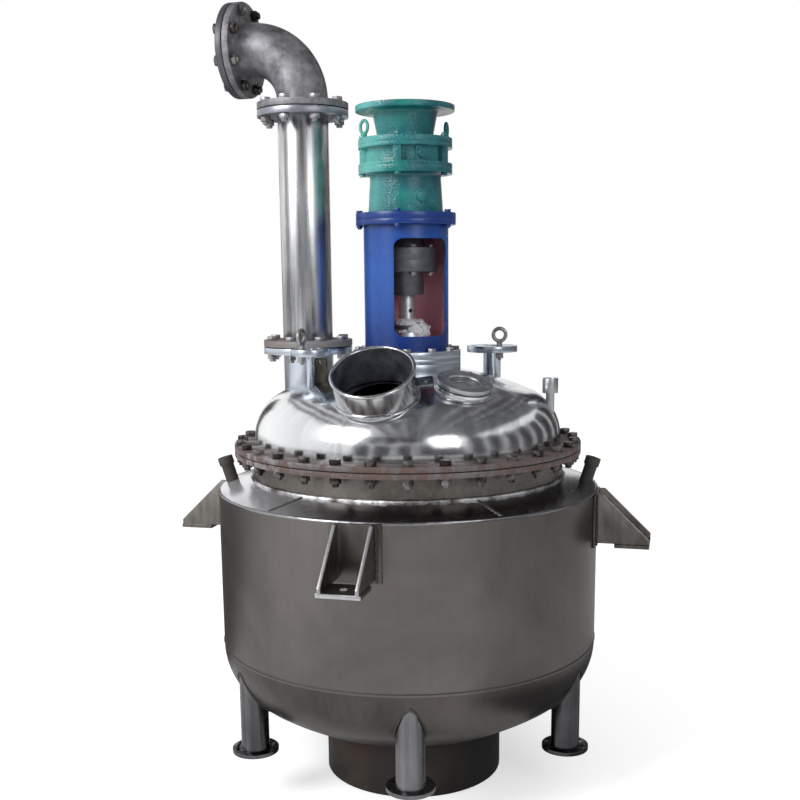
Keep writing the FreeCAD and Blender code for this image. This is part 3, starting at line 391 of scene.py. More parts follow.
def circle(radius, z, ripple):
    """Points round the vessel's axis that waver a little, as a hand-run bead does."""
    points = []
    for i in range(360):
        a = math.radians(i)
        waver = ripple * (math.sin(i * 1.7) + math.sin(i * 0.61 + 1.0))
        r = radius + waver
        points.append((r * math.sin(a), -r * math.cos(a), z + waver * 0.4))
    return points


weld_finish = Finish("weld_bead", (0.45, 0.43, 0.41), 0.34, 1.0)
weld_patches = weld_finish.noise(9.0, 4.0, 0.65)
weld_finish.paint(weld_finish.steps(weld_patches, (0.4, 0.0), (0.62, 1.0)),
                  (0.10, 0.085, 0.075), (0.85, 0.85, 0.86))
weld_finish.set("Roughness", 0.18 + weld_patches * 0.35)
weld_finish.height(weld_finish.noise(130.0, 4.0, 0.6), 0.004, 0.9)

# Bright metal: laid along the barrel's top edge and as one line of each joint it is a painted highlight.
edge_finish = Finish("rounded_edge", (0.52, 0.53, 0.56), 0.26, 1.0)
edge_finish.paint(edge_finish.noise(6.0, 4.0, 0.6), (0.10, 0.10, 0.105), (0.42, 0.425, 0.44))
dark_weld_finish = Finish("dark_weld", (0.06, 0.055, 0.05), 0.5, 0.6)
dark_weld_finish.height(dark_weld_finish.noise(130.0, 4.0, 0.6), 0.003, 0.8)

shoulder_rise = 34.0
shoulder_top = jacket_high + shoulder_rise
shoulder_drop = 8.4
vessel_r = 488.0
shoulder_light = (0.78, 0.78, 0.80)
shoulder_dark = (0.25, 0.25, 0.26)
shoulder_finish = rolled_steel("shoulder_steel", shoulder_light, shoulder_dark, 0.17, lined=0.2)
# Left of the middle the shoulder is painted near white and less metallic: a painted highlight.
shoulder_painted_highlight = shoulder_finish.leftness(-0.48, -0.17)
shoulder_tone = shoulder_finish.blend(shoulder_finish.noise(3.0, 5.0, 0.6),
                                      shoulder_dark, shoulder_light)
shoulder_finish.paint(shoulder_painted_highlight, shoulder_tone, (0.80, 0.81, 0.84))
shoulder_finish.set("Metallic", 1 - shoulder_painted_highlight * 0.3)
shoulder = [(jacket_r, jacket_high), (vessel_r, shoulder_top),
            (vessel_r, shoulder_top - shoulder_drop), (jacket_r - 27.0, jacket_high)]
fitted(spun(shoulder, 256), "shoulder", shoulder_finish, "jacket_steel", "jacket_cone")
bead(circle(jacket_r - 3.5, jacket_high - 2.5, 0.25), 5.0, "shoulder_outer_weld", edge_finish)
bead(circle(vessel_r + 3.0, shoulder_top + 1.0, 1.2), 6.5, "shoulder_inner_weld", weld_finish)
bead(circle(jacket_r - 0.4, jacket_low + 8.0, 0.2), 2.4, "bottom_weld", dark_weld_finish)

joints = ((-42.3, -38.1), (25.4, 22.9), (150.0, 150.0))
# Each joint gets a bright line, a painted highlight, beside a dark weld line.
joint_lines = ((0.0, 1.6, edge_finish), (0.6, 2.4, dark_weld_finish))
joint_points = 25
joint_outer_r = jacket_r - 8.0
joint_inner_r = vessel_r + 6.0
for number, (outer_azimuth, inner_azimuth) in enumerate(joints):
    for line, (offset, thick, line_finish) in enumerate(joint_lines):
        across = []
        for i in range(joint_points):
            t = i / (joint_points - 1)
            r = joint_outer_r + (joint_inner_r - joint_outer_r) * t
            waver = 0.08 * math.sin(i * 1.9)
            a = math.radians(outer_azimuth + (inner_azimuth - outer_azimuth) * t + offset + waver)
            z = jacket_high + shoulder_rise * (jacket_r - r) / (jacket_r - vessel_r)
            across.append((r * math.sin(a), -r * math.cos(a), z + 0.3))
        bead(across, thick, f"shoulder_joint_weld_{number}_{line}", line_finish, closed=False)

leg_circle_r = 552.0
leg_weld_r = 45.0
leg_points = 72
for number in range(6):
    a = math.radians(60.0 * number)
    round_leg = []
    for i in range(leg_points):
        t = math.tau * i / leg_points
        x = leg_circle_r * math.sin(a) + leg_weld_r * math.cos(t)
        y = -leg_circle_r * math.cos(a) + leg_weld_r * math.sin(t)
        rise = dished_height(jacket_r, jacket_crown, jacket_knuckle, math.hypot(x, y))
        round_leg.append((x, y, jacket_low - rise - 0.5))
    bead(round_leg, 3.0, f"leg_weld_{number}", dark_weld_finish)


# Side brackets.
# Four carrying brackets, each two gussets on a curved pad with a drilled base plate at the outer
# end, cut from plate and welded on. Their cut edges are ground bright.


def refinished(piece, finish, chosen):
    """Gives another finish to the faces of the piece that the test chooses."""
    piece.data.materials.append(finish.material)
    for face in piece.data.polygons:
        if chosen(face):
            face.material_index = len(piece.data.materials) - 1


bracket_pad = 9.0


def on_pad(face):
    """Face of a bracket's pad, which lies against the jacket."""
    return math.hypot(face.center.x, face.center.y) < (jacket_r + bracket_pad + 0.5) * mm


def on_cut_edge(face):
    """Sawn edge of a gusset or a base plate, which looks outwards."""
    outward = face.normal.dot(Vector((face.center.x, face.center.y, 0.0)).normalized())
    return not on_pad(face) and (outward > 0.3 or (face.normal.z > 0.3 and outward > 0.1))


lug_finish = rolled_steel("bracket_plate", (0.26, 0.245, 0.23), (0.05, 0.042, 0.036), 0.40,
                          (1.0, 1.0, 0.2))
cut_finish = rolled_steel("ground_edge", (0.66, 0.66, 0.67), (0.34, 0.34, 0.35), 0.34)
brackets = dressed("side_lugs", "side_brackets", lug_finish, "jacket_steel", 1.0)
refinished(brackets, cut_finish, on_cut_edge)
refinished(brackets, wall_finish, lambda face: on_pad(face) and abs(face.normal.z) > 0.5)
refinished(brackets, head_finish, lambda face: on_pad(face) and abs(face.normal.z) <= 0.5)

gusset_x = 60.0
gusset_weld_low = 782.0
gusset_weld_step = 3.6
gusset_weld_out = math.sqrt((jacket_r + bracket_pad) ** 2 - gusset_x ** 2)
for corner, azimuth in enumerate((-14.0, 76.0, 166.0, 256.0)):
    turned = Matrix.Rotation(math.radians(azimuth), 3, "Z")
    for side in (-gusset_x, gusset_x):
        foot = []
        for i in range(44):
            waver = 1.6 * math.sin(i * 2.3) + 1.2 * math.sin(i * 0.9)
            z = gusset_weld_low + gusset_weld_step * i
            foot.append(turned @ Vector((side + waver, -gusset_weld_out, z)))
        bead(foot, 4.2, f"bracket_weld_{corner}_{side:.0f}", dark_weld_finish, closed=False)


# Jacket sockets.
# Two short pipe sockets that lean out of the shoulder, brown from the welding, for the heating
# pipes.

socket_finish = rusted("brown_socket", (0.06, 0.055, 0.052), (0.07, 0.04, 0.026), 0.4)
socket_finish.set("Metallic", 0.8)
socket_finish.set("Roughness", 0.34)
dressed("jacket_stub_left", "left_socket", socket_finish, "stub_steel")
dressed("jacket_stub_right", "right_socket", socket_finish, "stub_steel")


# Inner vessel.
# The pressure shell that holds the batch. Only its neck shows, above the shoulder; the rest hangs
# inside the jacket.

vessel_wall = 8.0
vessel_crown = 800.0
vessel_knuckle = 100.0
vessel_low = 470.0
vessel_top = 1067.0
vessel_hole = 40.5
bottom = dished_shell(vessel_r, vessel_wall, vessel_crown, vessel_knuckle, vessel_low, -1.0,
                      vessel_hole)
fitted(spun([(vessel_r, vessel_top)] + bottom + [(vessel_r - vessel_wall, vessel_top)], 192),
       "inner_shell", neck_finish, "vessel_steel", "inner_vessel")


# Body flanges.
# Two thick rings of carbon steel, one on the vessel and one on the lid, drilled together. Their
# rims have red-brown primer that is worn and scuffed to bare metal; on the left the bare metal is
# painted paler, a painted highlight.

primer_finish = Finish("primed_rim", (0.12, 0.08, 0.07), 0.6)
worn = primer_finish.patches(0.47, 0.62, 16.0, 7.0, 0.68, warp=0.8)
scuffs = primer_finish.noise(90.0, 5.0, 0.65, stretch=(1.0, 1.0, 2.5))
primer_coat = primer_finish.blend(scuffs, (0.045, 0.03, 0.028), (0.14, 0.085, 0.074))
primer_tone = primer_finish.blend(worn, primer_coat, (0.17, 0.166, 0.17))
# On the left the worn patches are painted pale grey: a painted highlight.
primer_finish.paint(primer_finish.leftness(-0.47, -0.3) * worn, primer_tone, (0.40, 0.40, 0.42))
primer_finish.set("Metallic", worn * 0.85)
primer_finish.set("Roughness", 0.62 - worn * 0.2)
primer_finish.height(scuffs + worn * 0.4, 0.0012, 0.6)

flange_r = 546.0
flange_thick = 16.0
lid_r = 482.0
lid_wall = 6.0
gasket_r = 540.0
seam = 3.0
lid_flange_low = vessel_top + seam
lid_flange_top = lid_flange_low + flange_thick
fitted(ring(flange_r, vessel_r, vessel_top - flange_thick, vessel_top, 1.5, 256), "lower_body_flange",
       primer_finish, "flange_primer", "vessel_flange")
fitted(ring(flange_r, lid_r, lid_flange_low, lid_flange_top, 1.5, 256), "lid_ring",
       primer_finish, "flange_primer", "lid_flange")

gasket_finish = Finish("dark_gasket", (0.02, 0.02, 0.02), 0.8)
gasket_finish.height(gasket_finish.noise(400.0), 0.0004, 0.5)
fitted(ring(gasket_r, lid_r - lid_wall, vessel_top, lid_flange_low, 0.4, 192), "body_gasket",
       gasket_finish, "gasket", "lid_gasket")


# Body bolts.
# Thirty-two hexagon bolts with washers and nuts, blackened and scuffed. The plated finish beside
# theirs is for the part's other bolts.


def upright(radius, low, high, sides):
    """Prism or cylinder between two heights."""
    bm = bmesh.new()
    bmesh.ops.create_cone(bm, cap_ends=True, segments=sides, radius1=radius, radius2=radius,
                          depth=high - low, matrix=Matrix.Translation((0, 0, (low + high) / 2)))
    return bm


def hexagon(across, low, high):
    """Bolt head or nut with its edges turned off."""
    bm = upright(across / math.sqrt(3), low, high, 6)
    bmesh.ops.bevel(bm, geom=bm.edges[:], offset=across * 0.045, segments=2, profile=0.5,
                    affect="EDGES", material=-1)
    return bm


def rod(radius, low, high, edge=0.8, sides=20):
    """Cylinder with eased ends."""
    return eased(upright(radius, low, high, sides), edge, 1)


def stud_set(seat, under, radius, across, head, nut, tail):
    """Bolt with its head on the upper seat, and its washers and nut under the lower face."""
    washer = 2.5
    return joined(rod(across * 0.56, seat, seat + washer, 0.4, 24),
                  hexagon(across, seat + washer, seat + head),
                  rod(radius, under - nut - tail, seat),
                  rod(across * 0.56, under - washer, under, 0.4, 24),
                  hexagon(across, under - nut, under - washer))


def copies(source, spots):
    """Repeats a small bmesh at each (x, y, z, turn)."""
    spare = meshed(source, "spare")
    whole = bmesh.new()
    for x, y, z, turn in spots:
        before = len(whole.verts)
        whole.from_mesh(spare)
        whole.verts.ensure_lookup_table()
        bmesh.ops.transform(whole, verts=whole.verts[before:],
                            matrix=Matrix.Translation((x, y, z)) @ Matrix.Rotation(turn, 4, "Z"))
    bpy.data.meshes.remove(spare)
    return whole


def round_pattern(count, radius, start=0.0, spread=0.0):
    """Spots on a bolt circle from an azimuth, each turned a little its own way."""
    spots = []
    for i in range(count):
        a = math.radians(start + 360.0 * i / count)
        turn = a + spread * math.sin(i * 12.9)
        spots.append((radius * math.sin(a), -radius * math.cos(a), 0.0, turn))
    return spots


bolt_finish = Finish("plated_bolt", (0.42, 0.42, 0.44), 0.36, 1.0)
stained = bolt_finish.patches(0.5, 0.66, 9.0, 5.0, 0.7)
bolt_finish.paint(stained, (0.40, 0.40, 0.42), (0.13, 0.085, 0.06))
bolt_finish.set("Metallic", 1 - stained * 0.5)
bolt_finish.set("Roughness", 0.3 + stained * 0.35)
bolt_finish.height(bolt_finish.noise(300.0, 3.0), 0.0006, 0.4)

stained_finish = Finish("blackened_bolt", (0.13, 0.118, 0.11), 0.42, 0.8)
stained_finish.paint(stained_finish.patches(0.42, 0.66, 22.0, 4.0, 0.65),
                     (0.035, 0.028, 0.025), (0.24, 0.23, 0.23))
stained_finish.height(stained_finish.noise(300.0, 3.0), 0.0006, 0.4)

closure_circle_r = 525.0
body_bolt = stud_set(lid_flange_top, vessel_top - flange_thick, radius=10.0, across=30.0,
                     head=15.5, nut=18.5, tail=9.0)
fitted(copies(body_bolt, round_pattern(32, closure_circle_r, spread=0.5)), "body_bolts",
       stained_finish, "bolt_steel", "flange_bolts")


# Lid.
# A dished end of polished stainless with a short straight edge inside its ring. Mirror bright, but
# not quite true and smeared by hand, so reflections waver in it. Its left side is painted near
# white, a painted reflection.

polish_finish = Finish("mirror_lid", (0.60, 0.61, 0.64), 0.10, 1.0)
haze = polish_finish.noise(3.0, 4.0, 0.55)
polish_lines = polish_finish.noise(110.0, 3.0, 0.6, stretch=(1.0, 1.0, 4.0))
smears = polish_finish.patches(0.44, 0.56, 13.0, 3.0, 0.5, stretch=(1.0, 1.0, 0.45), warp=0.8)
polish_tone = polish_finish.blend(haze * 0.6 + smears * 0.4, (0.40, 0.41, 0.43), (0.80, 0.81, 0.825))
# Left of the middle the lid is painted near white: a painted reflection.
polish_finish.paint(polish_finish.leftness(-0.42, -0.2), polish_tone, (0.93, 0.94, 0.95))
polish_finish.set("Roughness", 0.08 + haze * 0.16)
polish_finish.height(polish_finish.noise(6.0, 3.0, 0.45) + polish_lines * 0.03, 0.008, 0.45)

lid_tangent = lid_flange_low + 34.0
lid_crown = 1000.0
lid_knuckle = 150.0
lid_hole = 40.0
dome = dished_shell(lid_r, lid_wall, lid_crown, lid_knuckle, lid_tangent, 1.0, lid_hole, 80)
lid = spun([(lid_r, lid_flange_low)] + dome + [(lid_r - lid_wall, lid_flange_low)], 256)
lid_piece = fitted(lid, "lid_shell", polish_finish, "polished_steel", "lid_dome")


def lid_height(radius):
    """Height of the lid's outside at a distance from its axis."""
    return lid_tangent + dished_height(lid_r, lid_crown, lid_knuckle, radius)


def seat_on_lid(azimuth, radius, lean=None):
    """Frame on the lid's outside whose Z is the lid's normal, or leans out by the given angle."""
    if lean is None:
        lean = math.degrees(math.asin(radius / lid_crown))
    a = math.radians(azimuth)
    foot = Vector((radius * math.sin(a), -radius * math.cos(a), lid_height(radius)))
    tilt = Matrix.Rotation(a, 4, "Z") @ Matrix.Rotation(math.radians(lean), 4, "X")
    return Matrix.Translation(foot) @ tilt


def opened(piece, *cutters):
    """Cuts openings through a piece and lets the cutters go."""
    for bm in cutters:
        bmesh.ops.scale(bm, vec=(mm, mm, mm), verts=bm.verts)
        mesh = meshed(bm, "cutter")
        cutter = placed("cutter", mesh)
        cut = piece.modifiers.new("cut", "BOOLEAN")
        cut.operation = "DIFFERENCE"
        cut.solver = "EXACT"
        cut.object = cutter
        bpy.context.view_layer.update()
        whole = piece.data
        piece.data = bpy.data.meshes.new_from_object(
            piece.evaluated_get(bpy.context.evaluated_depsgraph_get()))
        piece.modifiers.clear()
        bpy.data.meshes.remove(whole)
        bpy.data.objects.remove(cutter)
        bpy.data.meshes.remove(mesh)
    piece.data.shade_smooth()
    piece.data.set_sharp_from_angle(angle=sharp_corner)


manhole_seat = seat_on_lid(-14.5, 347.0, 31.5)
manhole_bore_r = 113.5
sight_seat = seat_on_lid(31.1, 317.2)
sight_hole_r = 45.0
opened(lid_piece, moved(rod(manhole_bore_r, -90.0, 90.0, 0.01, 96), manhole_seat),
       moved(rod(sight_hole_r, -40.0, 40.0, 0.01, 64), sight_seat))


# Manhole.
# A short round neck that leans outwards, its rim rolled into a polished bead and its inner wall
# dull. It has no cover, so the dark inside of the vessel shows.


def foot_line(seat, radius, count):
    """Line where a neck of that radius meets the lid, as points just outside the corner."""
    points = []
    centre = Vector((0.0, 0.0, lid_height(0.0) - lid_crown))
    axis = seat.to_3x3() @ Vector((0, 0, 1))
    for i in range(count):
        a = math.tau * i / count
        point = seat @ Vector((radius * math.cos(a), radius * math.sin(a), 0.0))
        towards = point - centre
        half = towards.dot(axis)
        reach = -half + math.sqrt(half * half - towards.length_squared + (lid_crown + 1.0) ** 2)
        points.append(point + axis * reach)
    return points


manhole_r = 119.5
manhole_low = -40.0
manhole_high = 85.0
rim_r = 5.5
rim = []
for angle in range(0, 360, 18):
    t = math.radians(angle)
    rim.append((manhole_bore_r + rim_r + rim_r * math.cos(t), manhole_high + rim_r * math.sin(t)))
neck = [(manhole_r, manhole_low), (manhole_r, manhole_high),
        (manhole_bore_r, manhole_high), (manhole_bore_r, manhole_low)]
manhole = fitted(moved(joined(spun(neck, 160), spun(rim, 160)), manhole_seat), "manhole_ring",
                 polish_finish, "polished_steel", "manhole_neck")


def in_manhole(face):
    """Inner wall of the neck, below its rim."""
    arm = Vector(face.center) - manhole_seat.translation * mm
    axis = manhole_seat.to_3x3() @ Vector((0, 0, 1))
    along = arm.dot(axis)
    across = (arm - axis * along).length
    return across < (manhole_bore_r + 0.5) * mm and along < (manhole_high - 2.0) * mm


bore_finish = Finish("dull_bore", (0.22, 0.225, 0.25), 0.45, 0.35)
bore_finish.paint(bore_finish.patches(0.42, 0.75, 9.0, 4.0, 0.6),
                  (0.025, 0.028, 0.042), (0.17, 0.175, 0.20))
refinished(manhole, bore_finish, in_manhole)
bead(foot_line(manhole_seat, manhole_r + 1.5, 160), 4.0, "manhole_weld", polish_finish)

tan_finish = rolled_steel("dull_bracket", (0.24, 0.20, 0.165), (0.12, 0.10, 0.085), 0.42)
dressed("manhole_hinge", "hinge_plates", tan_finish, "bracket_steel")
dressed("manhole_latch", "latch_plates", edge_finish, "bracket_steel")


# Sight glass.
# A turned base welded to the lid, a black gasket, a thick round glass and a bolted cover ring with
# a chamfered hole and four small screws.

cover_finish = Finish("turned_cover", (0.33, 0.34, 0.36), 0.28, 1.0)
turning = cover_finish.noise(24.0, 3.0, 0.6)
cover_finish.paint(turning, (0.36, 0.375, 0.39), (0.56, 0.58, 0.60))
cover_finish.set("Roughness", 0.30 + turning * 0.16)
cover_finish.height(cover_finish.noise(260.0, 2.0), 0.0003, 0.3)

sight_r = 82.5
sight_low = -22.0
base_top = 10.0
base_seat = 4.0
pane_r = 60.0
pane_top = base_seat + 15.0
pocket_r = pane_r + 0.3
cover_low = 13.0
cover_top = 27.0
base = [(sight_r, sight_low), (sight_r, base_top), (pocket_r, base_top),
        (pocket_r, base_seat), (sight_hole_r, base_seat), (sight_hole_r, sight_low)]
fitted(moved(eased(spun(base, 96), 0.8), sight_seat), "sight_seat_ring",
       polish_finish, "polished_steel", "sight_base")
fitted(moved(ring(sight_r - 0.5, pocket_r, base_top, cover_low, 0.3, 96), sight_seat), "sight_seal",
       gasket_finish, "gasket", "sight_gasket")
cover = [(sight_r, cover_low), (sight_r, cover_top),
         (sight_hole_r + 5.0, cover_top), (sight_hole_r, cover_top - 5.0),
         (sight_hole_r, pane_top), (pocket_r, pane_top), (pocket_r, cover_low)]
fitted(moved(eased(spun(cover, 128), 1.0), sight_seat), "sight_ring",
       cover_finish, "polished_steel", "sight_cover")

glass_finish = Finish("sight_pane", (0.72, 0.80, 0.78), 0.04)
glass_finish.set("Transmission Weight", 0.9)
glass_finish.set("IOR", 1.47)
fitted(moved(ring(pane_r, 0.01, base_seat, pane_top, 0.5, 96), sight_seat), "sight_pane",
       glass_finish, "sight_glass", "sight_window")
screw = joined(rod(5.0, base_seat, cover_top, 0.2), rod(7.0, cover_top, cover_top + 3.0, 1.0, 24))
fitted(moved(copies(screw, round_pattern(4, 72.0, 45.0)), sight_seat), "cover_screws",
       bolt_finish, "bolt_steel", "sight_screws")
bead(foot_line(sight_seat, sight_r + 1.0, 120), 3.4, "sight_weld", weld_finish)


# Feed and gauge nozzles.
# Upright flanged necks on the lid, a larger one on the right at the back and a smaller one on the
# left. An eye bolt stands in one hole of each flange.

nozzle_finish = Finish("bright_nozzle", (0.36, 0.38, 0.41), 0.24, 1.0)
nozzle_tone = nozzle_finish.noise(12.0, 4.0, 0.6, stretch=(1.0, 1.0, 0.3))
nozzle_finish.paint(nozzle_tone, (0.40, 0.45, 0.52), (0.68, 0.73, 0.80))
nozzle_finish.set("Roughness", 0.18 + nozzle_tone * 0.2)
nozzle_finish.height(nozzle_finish.noise(180.0, 3.0), 0.0003, 0.3)
dressed("feed_nozzle", "feed_neck", nozzle_finish, "polished_steel", 1.0)
dressed("gauge_nozzle", "gauge_neck", nozzle_finish, "polished_steel", 1.0)
dressed("nozzle_eye_bolts", "flange_eye_bolts", bolt_finish, "bolt_steel", 0.0)


# Probe socket.
# A round cup on a stem near the lid's right edge, for the thermometer's pocket.

dressed("probe_socket", "probe_cup", cover_finish, "polished_steel", 1.0)


# Vapour pipe.
# A nozzle, a straight pipe and their flanges in stainless. The pipe is streaked along its length,
# its lower flange rusty and its upper one grey.

at_vapour = Matrix.Translation((-319.0, 110.0, 0.0))
pipe_r = 79.5
pipe_inner = 75.0
plate_r = 142.5
plate = 20.0
pipe_low = 1355.0 + plate + seam
pipe_top = pipe_low + 727.0
elbow_low = pipe_top + seam

pipe_finish = Finish("streaked_pipe", (0.34, 0.34, 0.35), 0.25, 1.0)
streaks = pipe_finish.noise(34.0, 5.0, 0.65, stretch=(1.0, 1.0, 0.035))
pipe_marks = pipe_finish.noise(6.0, 4.0, 0.6, stretch=(1.0, 1.0, 0.6))
pipe_finish.paint(pipe_finish.steps(streaks * 0.7 + pipe_marks * 0.4, (0.38, 0.0), (0.68, 1.0)),
                  (0.16, 0.16, 0.17), (0.78, 0.79, 0.81))
pipe_finish.set("Roughness", 0.18 + streaks * 0.22)
pipe_finish.height(streaks, 0.0006, 0.4)
fitted(moved(ring(pipe_r, pipe_inner, pipe_low, pipe_top, 1.0, 96), at_vapour), "vapour_tube",
       pipe_finish, "pipe_steel", "vapour_pipe")

upper_plate_finish = Finish("grey_plate", (0.26, 0.27, 0.31), 0.36, 0.85)
upper_plate_finish.paint(upper_plate_finish.noise(20.0, 5.0, 0.65),
                         (0.12, 0.125, 0.145), (0.46, 0.48, 0.54))
lower_plate_finish = rusted("rusty_plate", (0.24, 0.24, 0.25), (0.15, 0.10, 0.08), 0.45)
upper_plate = ring(plate_r, pipe_r, pipe_top - plate, pipe_top, 1.2, 96)
lower_plate = ring(plate_r, pipe_r, pipe_low, pipe_low + plate, 1.2, 96)
fitted(moved(upper_plate, at_vapour), "upper_pipe_plate", upper_plate_finish, "pipe_steel")
fitted(moved(lower_plate, at_vapour), "lower_pipe_plate", lower_plate_finish, "pipe_steel")
dressed("vapour_nozzle", "vapour_neck", nozzle_finish, "pipe_steel", 1.0)


# Elbow.
# A drawn quarter bend with a flange at each end, left mottled grey as it came from the forge. The
# outer one is bolted to a dark loose flange, with dark bolts.

elbow_finish = Finish("mottled_elbow", (0.22, 0.22, 0.24), 0.55, 0.7)
mottle = elbow_finish.noise(17.0, 8.0, 0.72)
elbow_finish.paint(elbow_finish.steps(mottle, (0.34, 0.0), (0.66, 1.0)),
                   (0.09, 0.086, 0.084), (0.33, 0.33, 0.36))
elbow_finish.set("Roughness", 0.42 + mottle * 0.3)
elbow_finish.height(elbow_finish.noise(120.0, 4.0, 0.6) * 0.6 + mottle, 0.0016, 0.5)
dark_plate_finish = Finish("dark_plate", (0.09, 0.092, 0.105), 0.5, 0.7)
dark_plate_finish.paint(dark_plate_finish.noise(22.0, 5.0, 0.65),
                        (0.04, 0.04, 0.045), (0.15, 0.155, 0.18))
dressed("vapour_elbow", "elbow_bend", elbow_finish, "elbow_steel", 1.2)
dressed("outlet_flange", "companion_flange", dark_plate_finish, "pipe_steel", 1.2)
dressed("pipe_gaskets", "pipe_seals", gasket_finish, "gasket", 0.0)
plate_bolts = dressed("pipe_bolts", "plate_bolts", bolt_finish, "bolt_steel")
refinished(plate_bolts, stained_finish, lambda face: face.center.z > (elbow_low + plate * 2) * mm)


# Lid pad, seal flange and column foot.
# Three turned rings on the lid's centre, held by one circle of bolts. They carry the whole drive.

pad_finish = Finish("turned_ring", (0.28, 0.31, 0.36), 0.3, 1.0)
pad_tone = pad_finish.noise(10.0, 4.0, 0.6, stretch=(1.0, 1.0, 3.0))
pad_finish.paint(pad_tone, (0.42, 0.46, 0.53), (0.76, 0.82, 0.92))
pad_finish.set("Roughness", 0.22 + pad_tone * 0.2)
pad_finish.height(pad_finish.noise(200.0, 3.0, stretch=(1.0, 1.0, 4.0)), 0.0004, 0.4)
dressed("lid_pad", "pad_ring", pad_finish, "polished_steel", 1.2)
dressed("seal_housing", "seal_casting", pad_finish, "polished_steel", 1.2)
dressed("column_foot", "column_base_ring", pad_finish, "polished_steel", 1.2)


# Shaft seal.
# The stuffing box with its gland, studs and nuts, and a crumpled lump of protective wrap left
# round the shaft above it. The wrap's fold pattern also sets its colour, darker in the hollows and
# pale on the ridges: painted shade and highlight.

iron_finish = Finish("oiled_iron", (0.10, 0.105, 0.125), 0.42, 0.75)
iron_grain = iron_finish.noise(70.0, 5.0, 0.65)
iron_finish.paint(iron_grain, (0.06, 0.062, 0.075), (0.16, 0.165, 0.19))
iron_finish.height(iron_grain, 0.0008, 0.5)
dressed("seal_gland", "gland_ring", iron_finish, "dark_iron")
dressed("gland_studs", "gland_bolts", bolt_finish, "bolt_steel", 0.4)

wrap_finish = Finish("loose_wrap", (0.60, 0.61, 0.66), 0.4)
folds_and_shade = wrap_finish.noise(34.0, 5.0, 0.6, warp=1.5)
# The folds also paint the colour: darker in the hollows, pale on the ridges, as painted shade and highlight.
wrap_finish.paint(folds_and_shade, (0.40, 0.40, 0.44), (0.86, 0.87, 0.92))
wrap_finish.height(folds_and_shade, 0.01, 0.9)
wrap_foot = 1402.0
wrap_inner = 27.0
wrap_outline = ((wrap_inner, 0.0), (54.0, 0.0), (60.0, 14.0), (56.0, 34.0), (44.0, 56.0), (wrap_inner, 64.0))
lump = spun([(r, wrap_foot + z) for r, z in wrap_outline], 72)
bmesh.ops.subdivide_edges(lump, edges=lump.edges, cuts=2, use_grid_fill=True)
for vert in lump.verts:
    crease = noise.turbulence(vert.co / 26.0, 3, True) - 0.35
    out = max(math.hypot(vert.co.x, vert.co.y) - 30.0, 0.0) / 22.0
    vert.co += out * Vector((crease * 16.0 + 12.0, crease * 10.0, crease * 18.0))
fitted(lump, "shaft_wrap", wrap_finish, "wrap", "seal_wrap")


# Drive column.
# A pipe with one window cut in its side, blue enamel outside and red primer inside, with a thick
# flange at the top under the adapter. The blue is painted darker towards its foot and its top, a
# painted shade, and the primer is painted lighter than it is, painted light for the dim inside.

blue_finish = Finish("blue_enamel", (0.02, 0.07, 0.26), 0.26)
brush = blue_finish.noise(5.0, 4.0, 0.55, stretch=(1.0, 1.0, 0.5))
grime = blue_finish.patches(0.56, 0.72, 20.0, 6.0, 0.7)
# Painted shade: the blue darkens towards the column's foot and its top.
shade = blue_finish.steps(blue_finish.coordinate(2) - 1.0,
                          (0.38, 0.1), (0.50, 0.75), (0.62, 1.0), (0.72, 0.7), (0.76, 0.25))
enamel = blue_finish.blend(shade * (0.45 + brush * 0.6), (0.001, 0.014, 0.12), (0.012, 0.088, 0.37))
blue_finish.paint(grime * 0.4, enamel, (0.01, 0.015, 0.05))
blue_finish.set("Roughness", 0.2 + brush * 0.2 + grime * 0.2)
blue_finish.height(blue_finish.noise(60.0, 3.0, 0.5), 0.0014, 0.5)
# The primer's colour is set lighter than the primer is: painted light for the dim inside of the column.
red_painted_light_finish = Finish("red_primer_painted_light", (0.11, 0.04, 0.045), 0.6)
red_painted_light_finish.paint(red_painted_light_finish.noise(14.0, 4.0), (0.48, 0.20, 0.25), (0.74, 0.38, 0.44))
red_painted_light_finish.height(red_painted_light_finish.noise(150.0, 3.0), 0.0006, 0.4)

column_low = 1370.0
column_high = 1750.0
column_r = 130.8
column_inner = 122.8
column = [(column_r, column_low), (column_r, column_high),
          (column_inner, column_high), (column_inner, column_low)]
column_piece = fitted(spun(column, 192), "column_tube", blue_finish, "column_blue", "column")
window_width = 174.0
window_height = 292.0
window_middle = 1562.0
window_deep = 260.0
window_turn = Matrix.Rotation(math.radians(25.0), 4, "Z")
window = bmesh.new()
bmesh.ops.create_cube(window, size=1.0,
                      matrix=Matrix.Diagonal((window_width, window_deep, window_height, 1.0)))
corners = [e for e in window.edges if abs((e.verts[0].co - e.verts[1].co).y) > window_deep / 2]
bmesh.ops.bevel(window, geom=corners, offset=25.0, segments=8, profile=0.5, affect="EDGES", material=-1)
opened(column_piece, moved(window, window_turn @ Matrix.Translation((0.0, -150.0, window_middle))))


def in_column(face):
    """Inner wall of the column."""
    outward = face.normal.x * face.center.x + face.normal.y * face.center.y
    return math.hypot(face.center.x, face.center.y) < (column_inner + 1.7) * mm and outward < 0.0


refinished(column_piece, red_painted_light_finish, in_column)
fitted(ring(154.0, 105.0, column_high, column_high + 16.0, 1.4, 160), "column_head",
       blue_finish, "column_blue")
dressed("adapter_flange", "adapter_ring", blue_finish, "column_blue", 1.4)
drive_bolts = dressed("column_bolts", "drive_bolts", bolt_finish, "bolt_steel", 0.6)
refinished(drive_bolts, blue_finish, lambda face: face.center.z > (column_high - 30.0) * mm)


# Stirrer drive.
# The reducer's output shaft, a split flange coupling in dark iron and the stirrer's shaft with its
# anchor. All of them turn together, and so does a black disc on the shaft that stands for the dark
# of a drilled hole, painted shade.

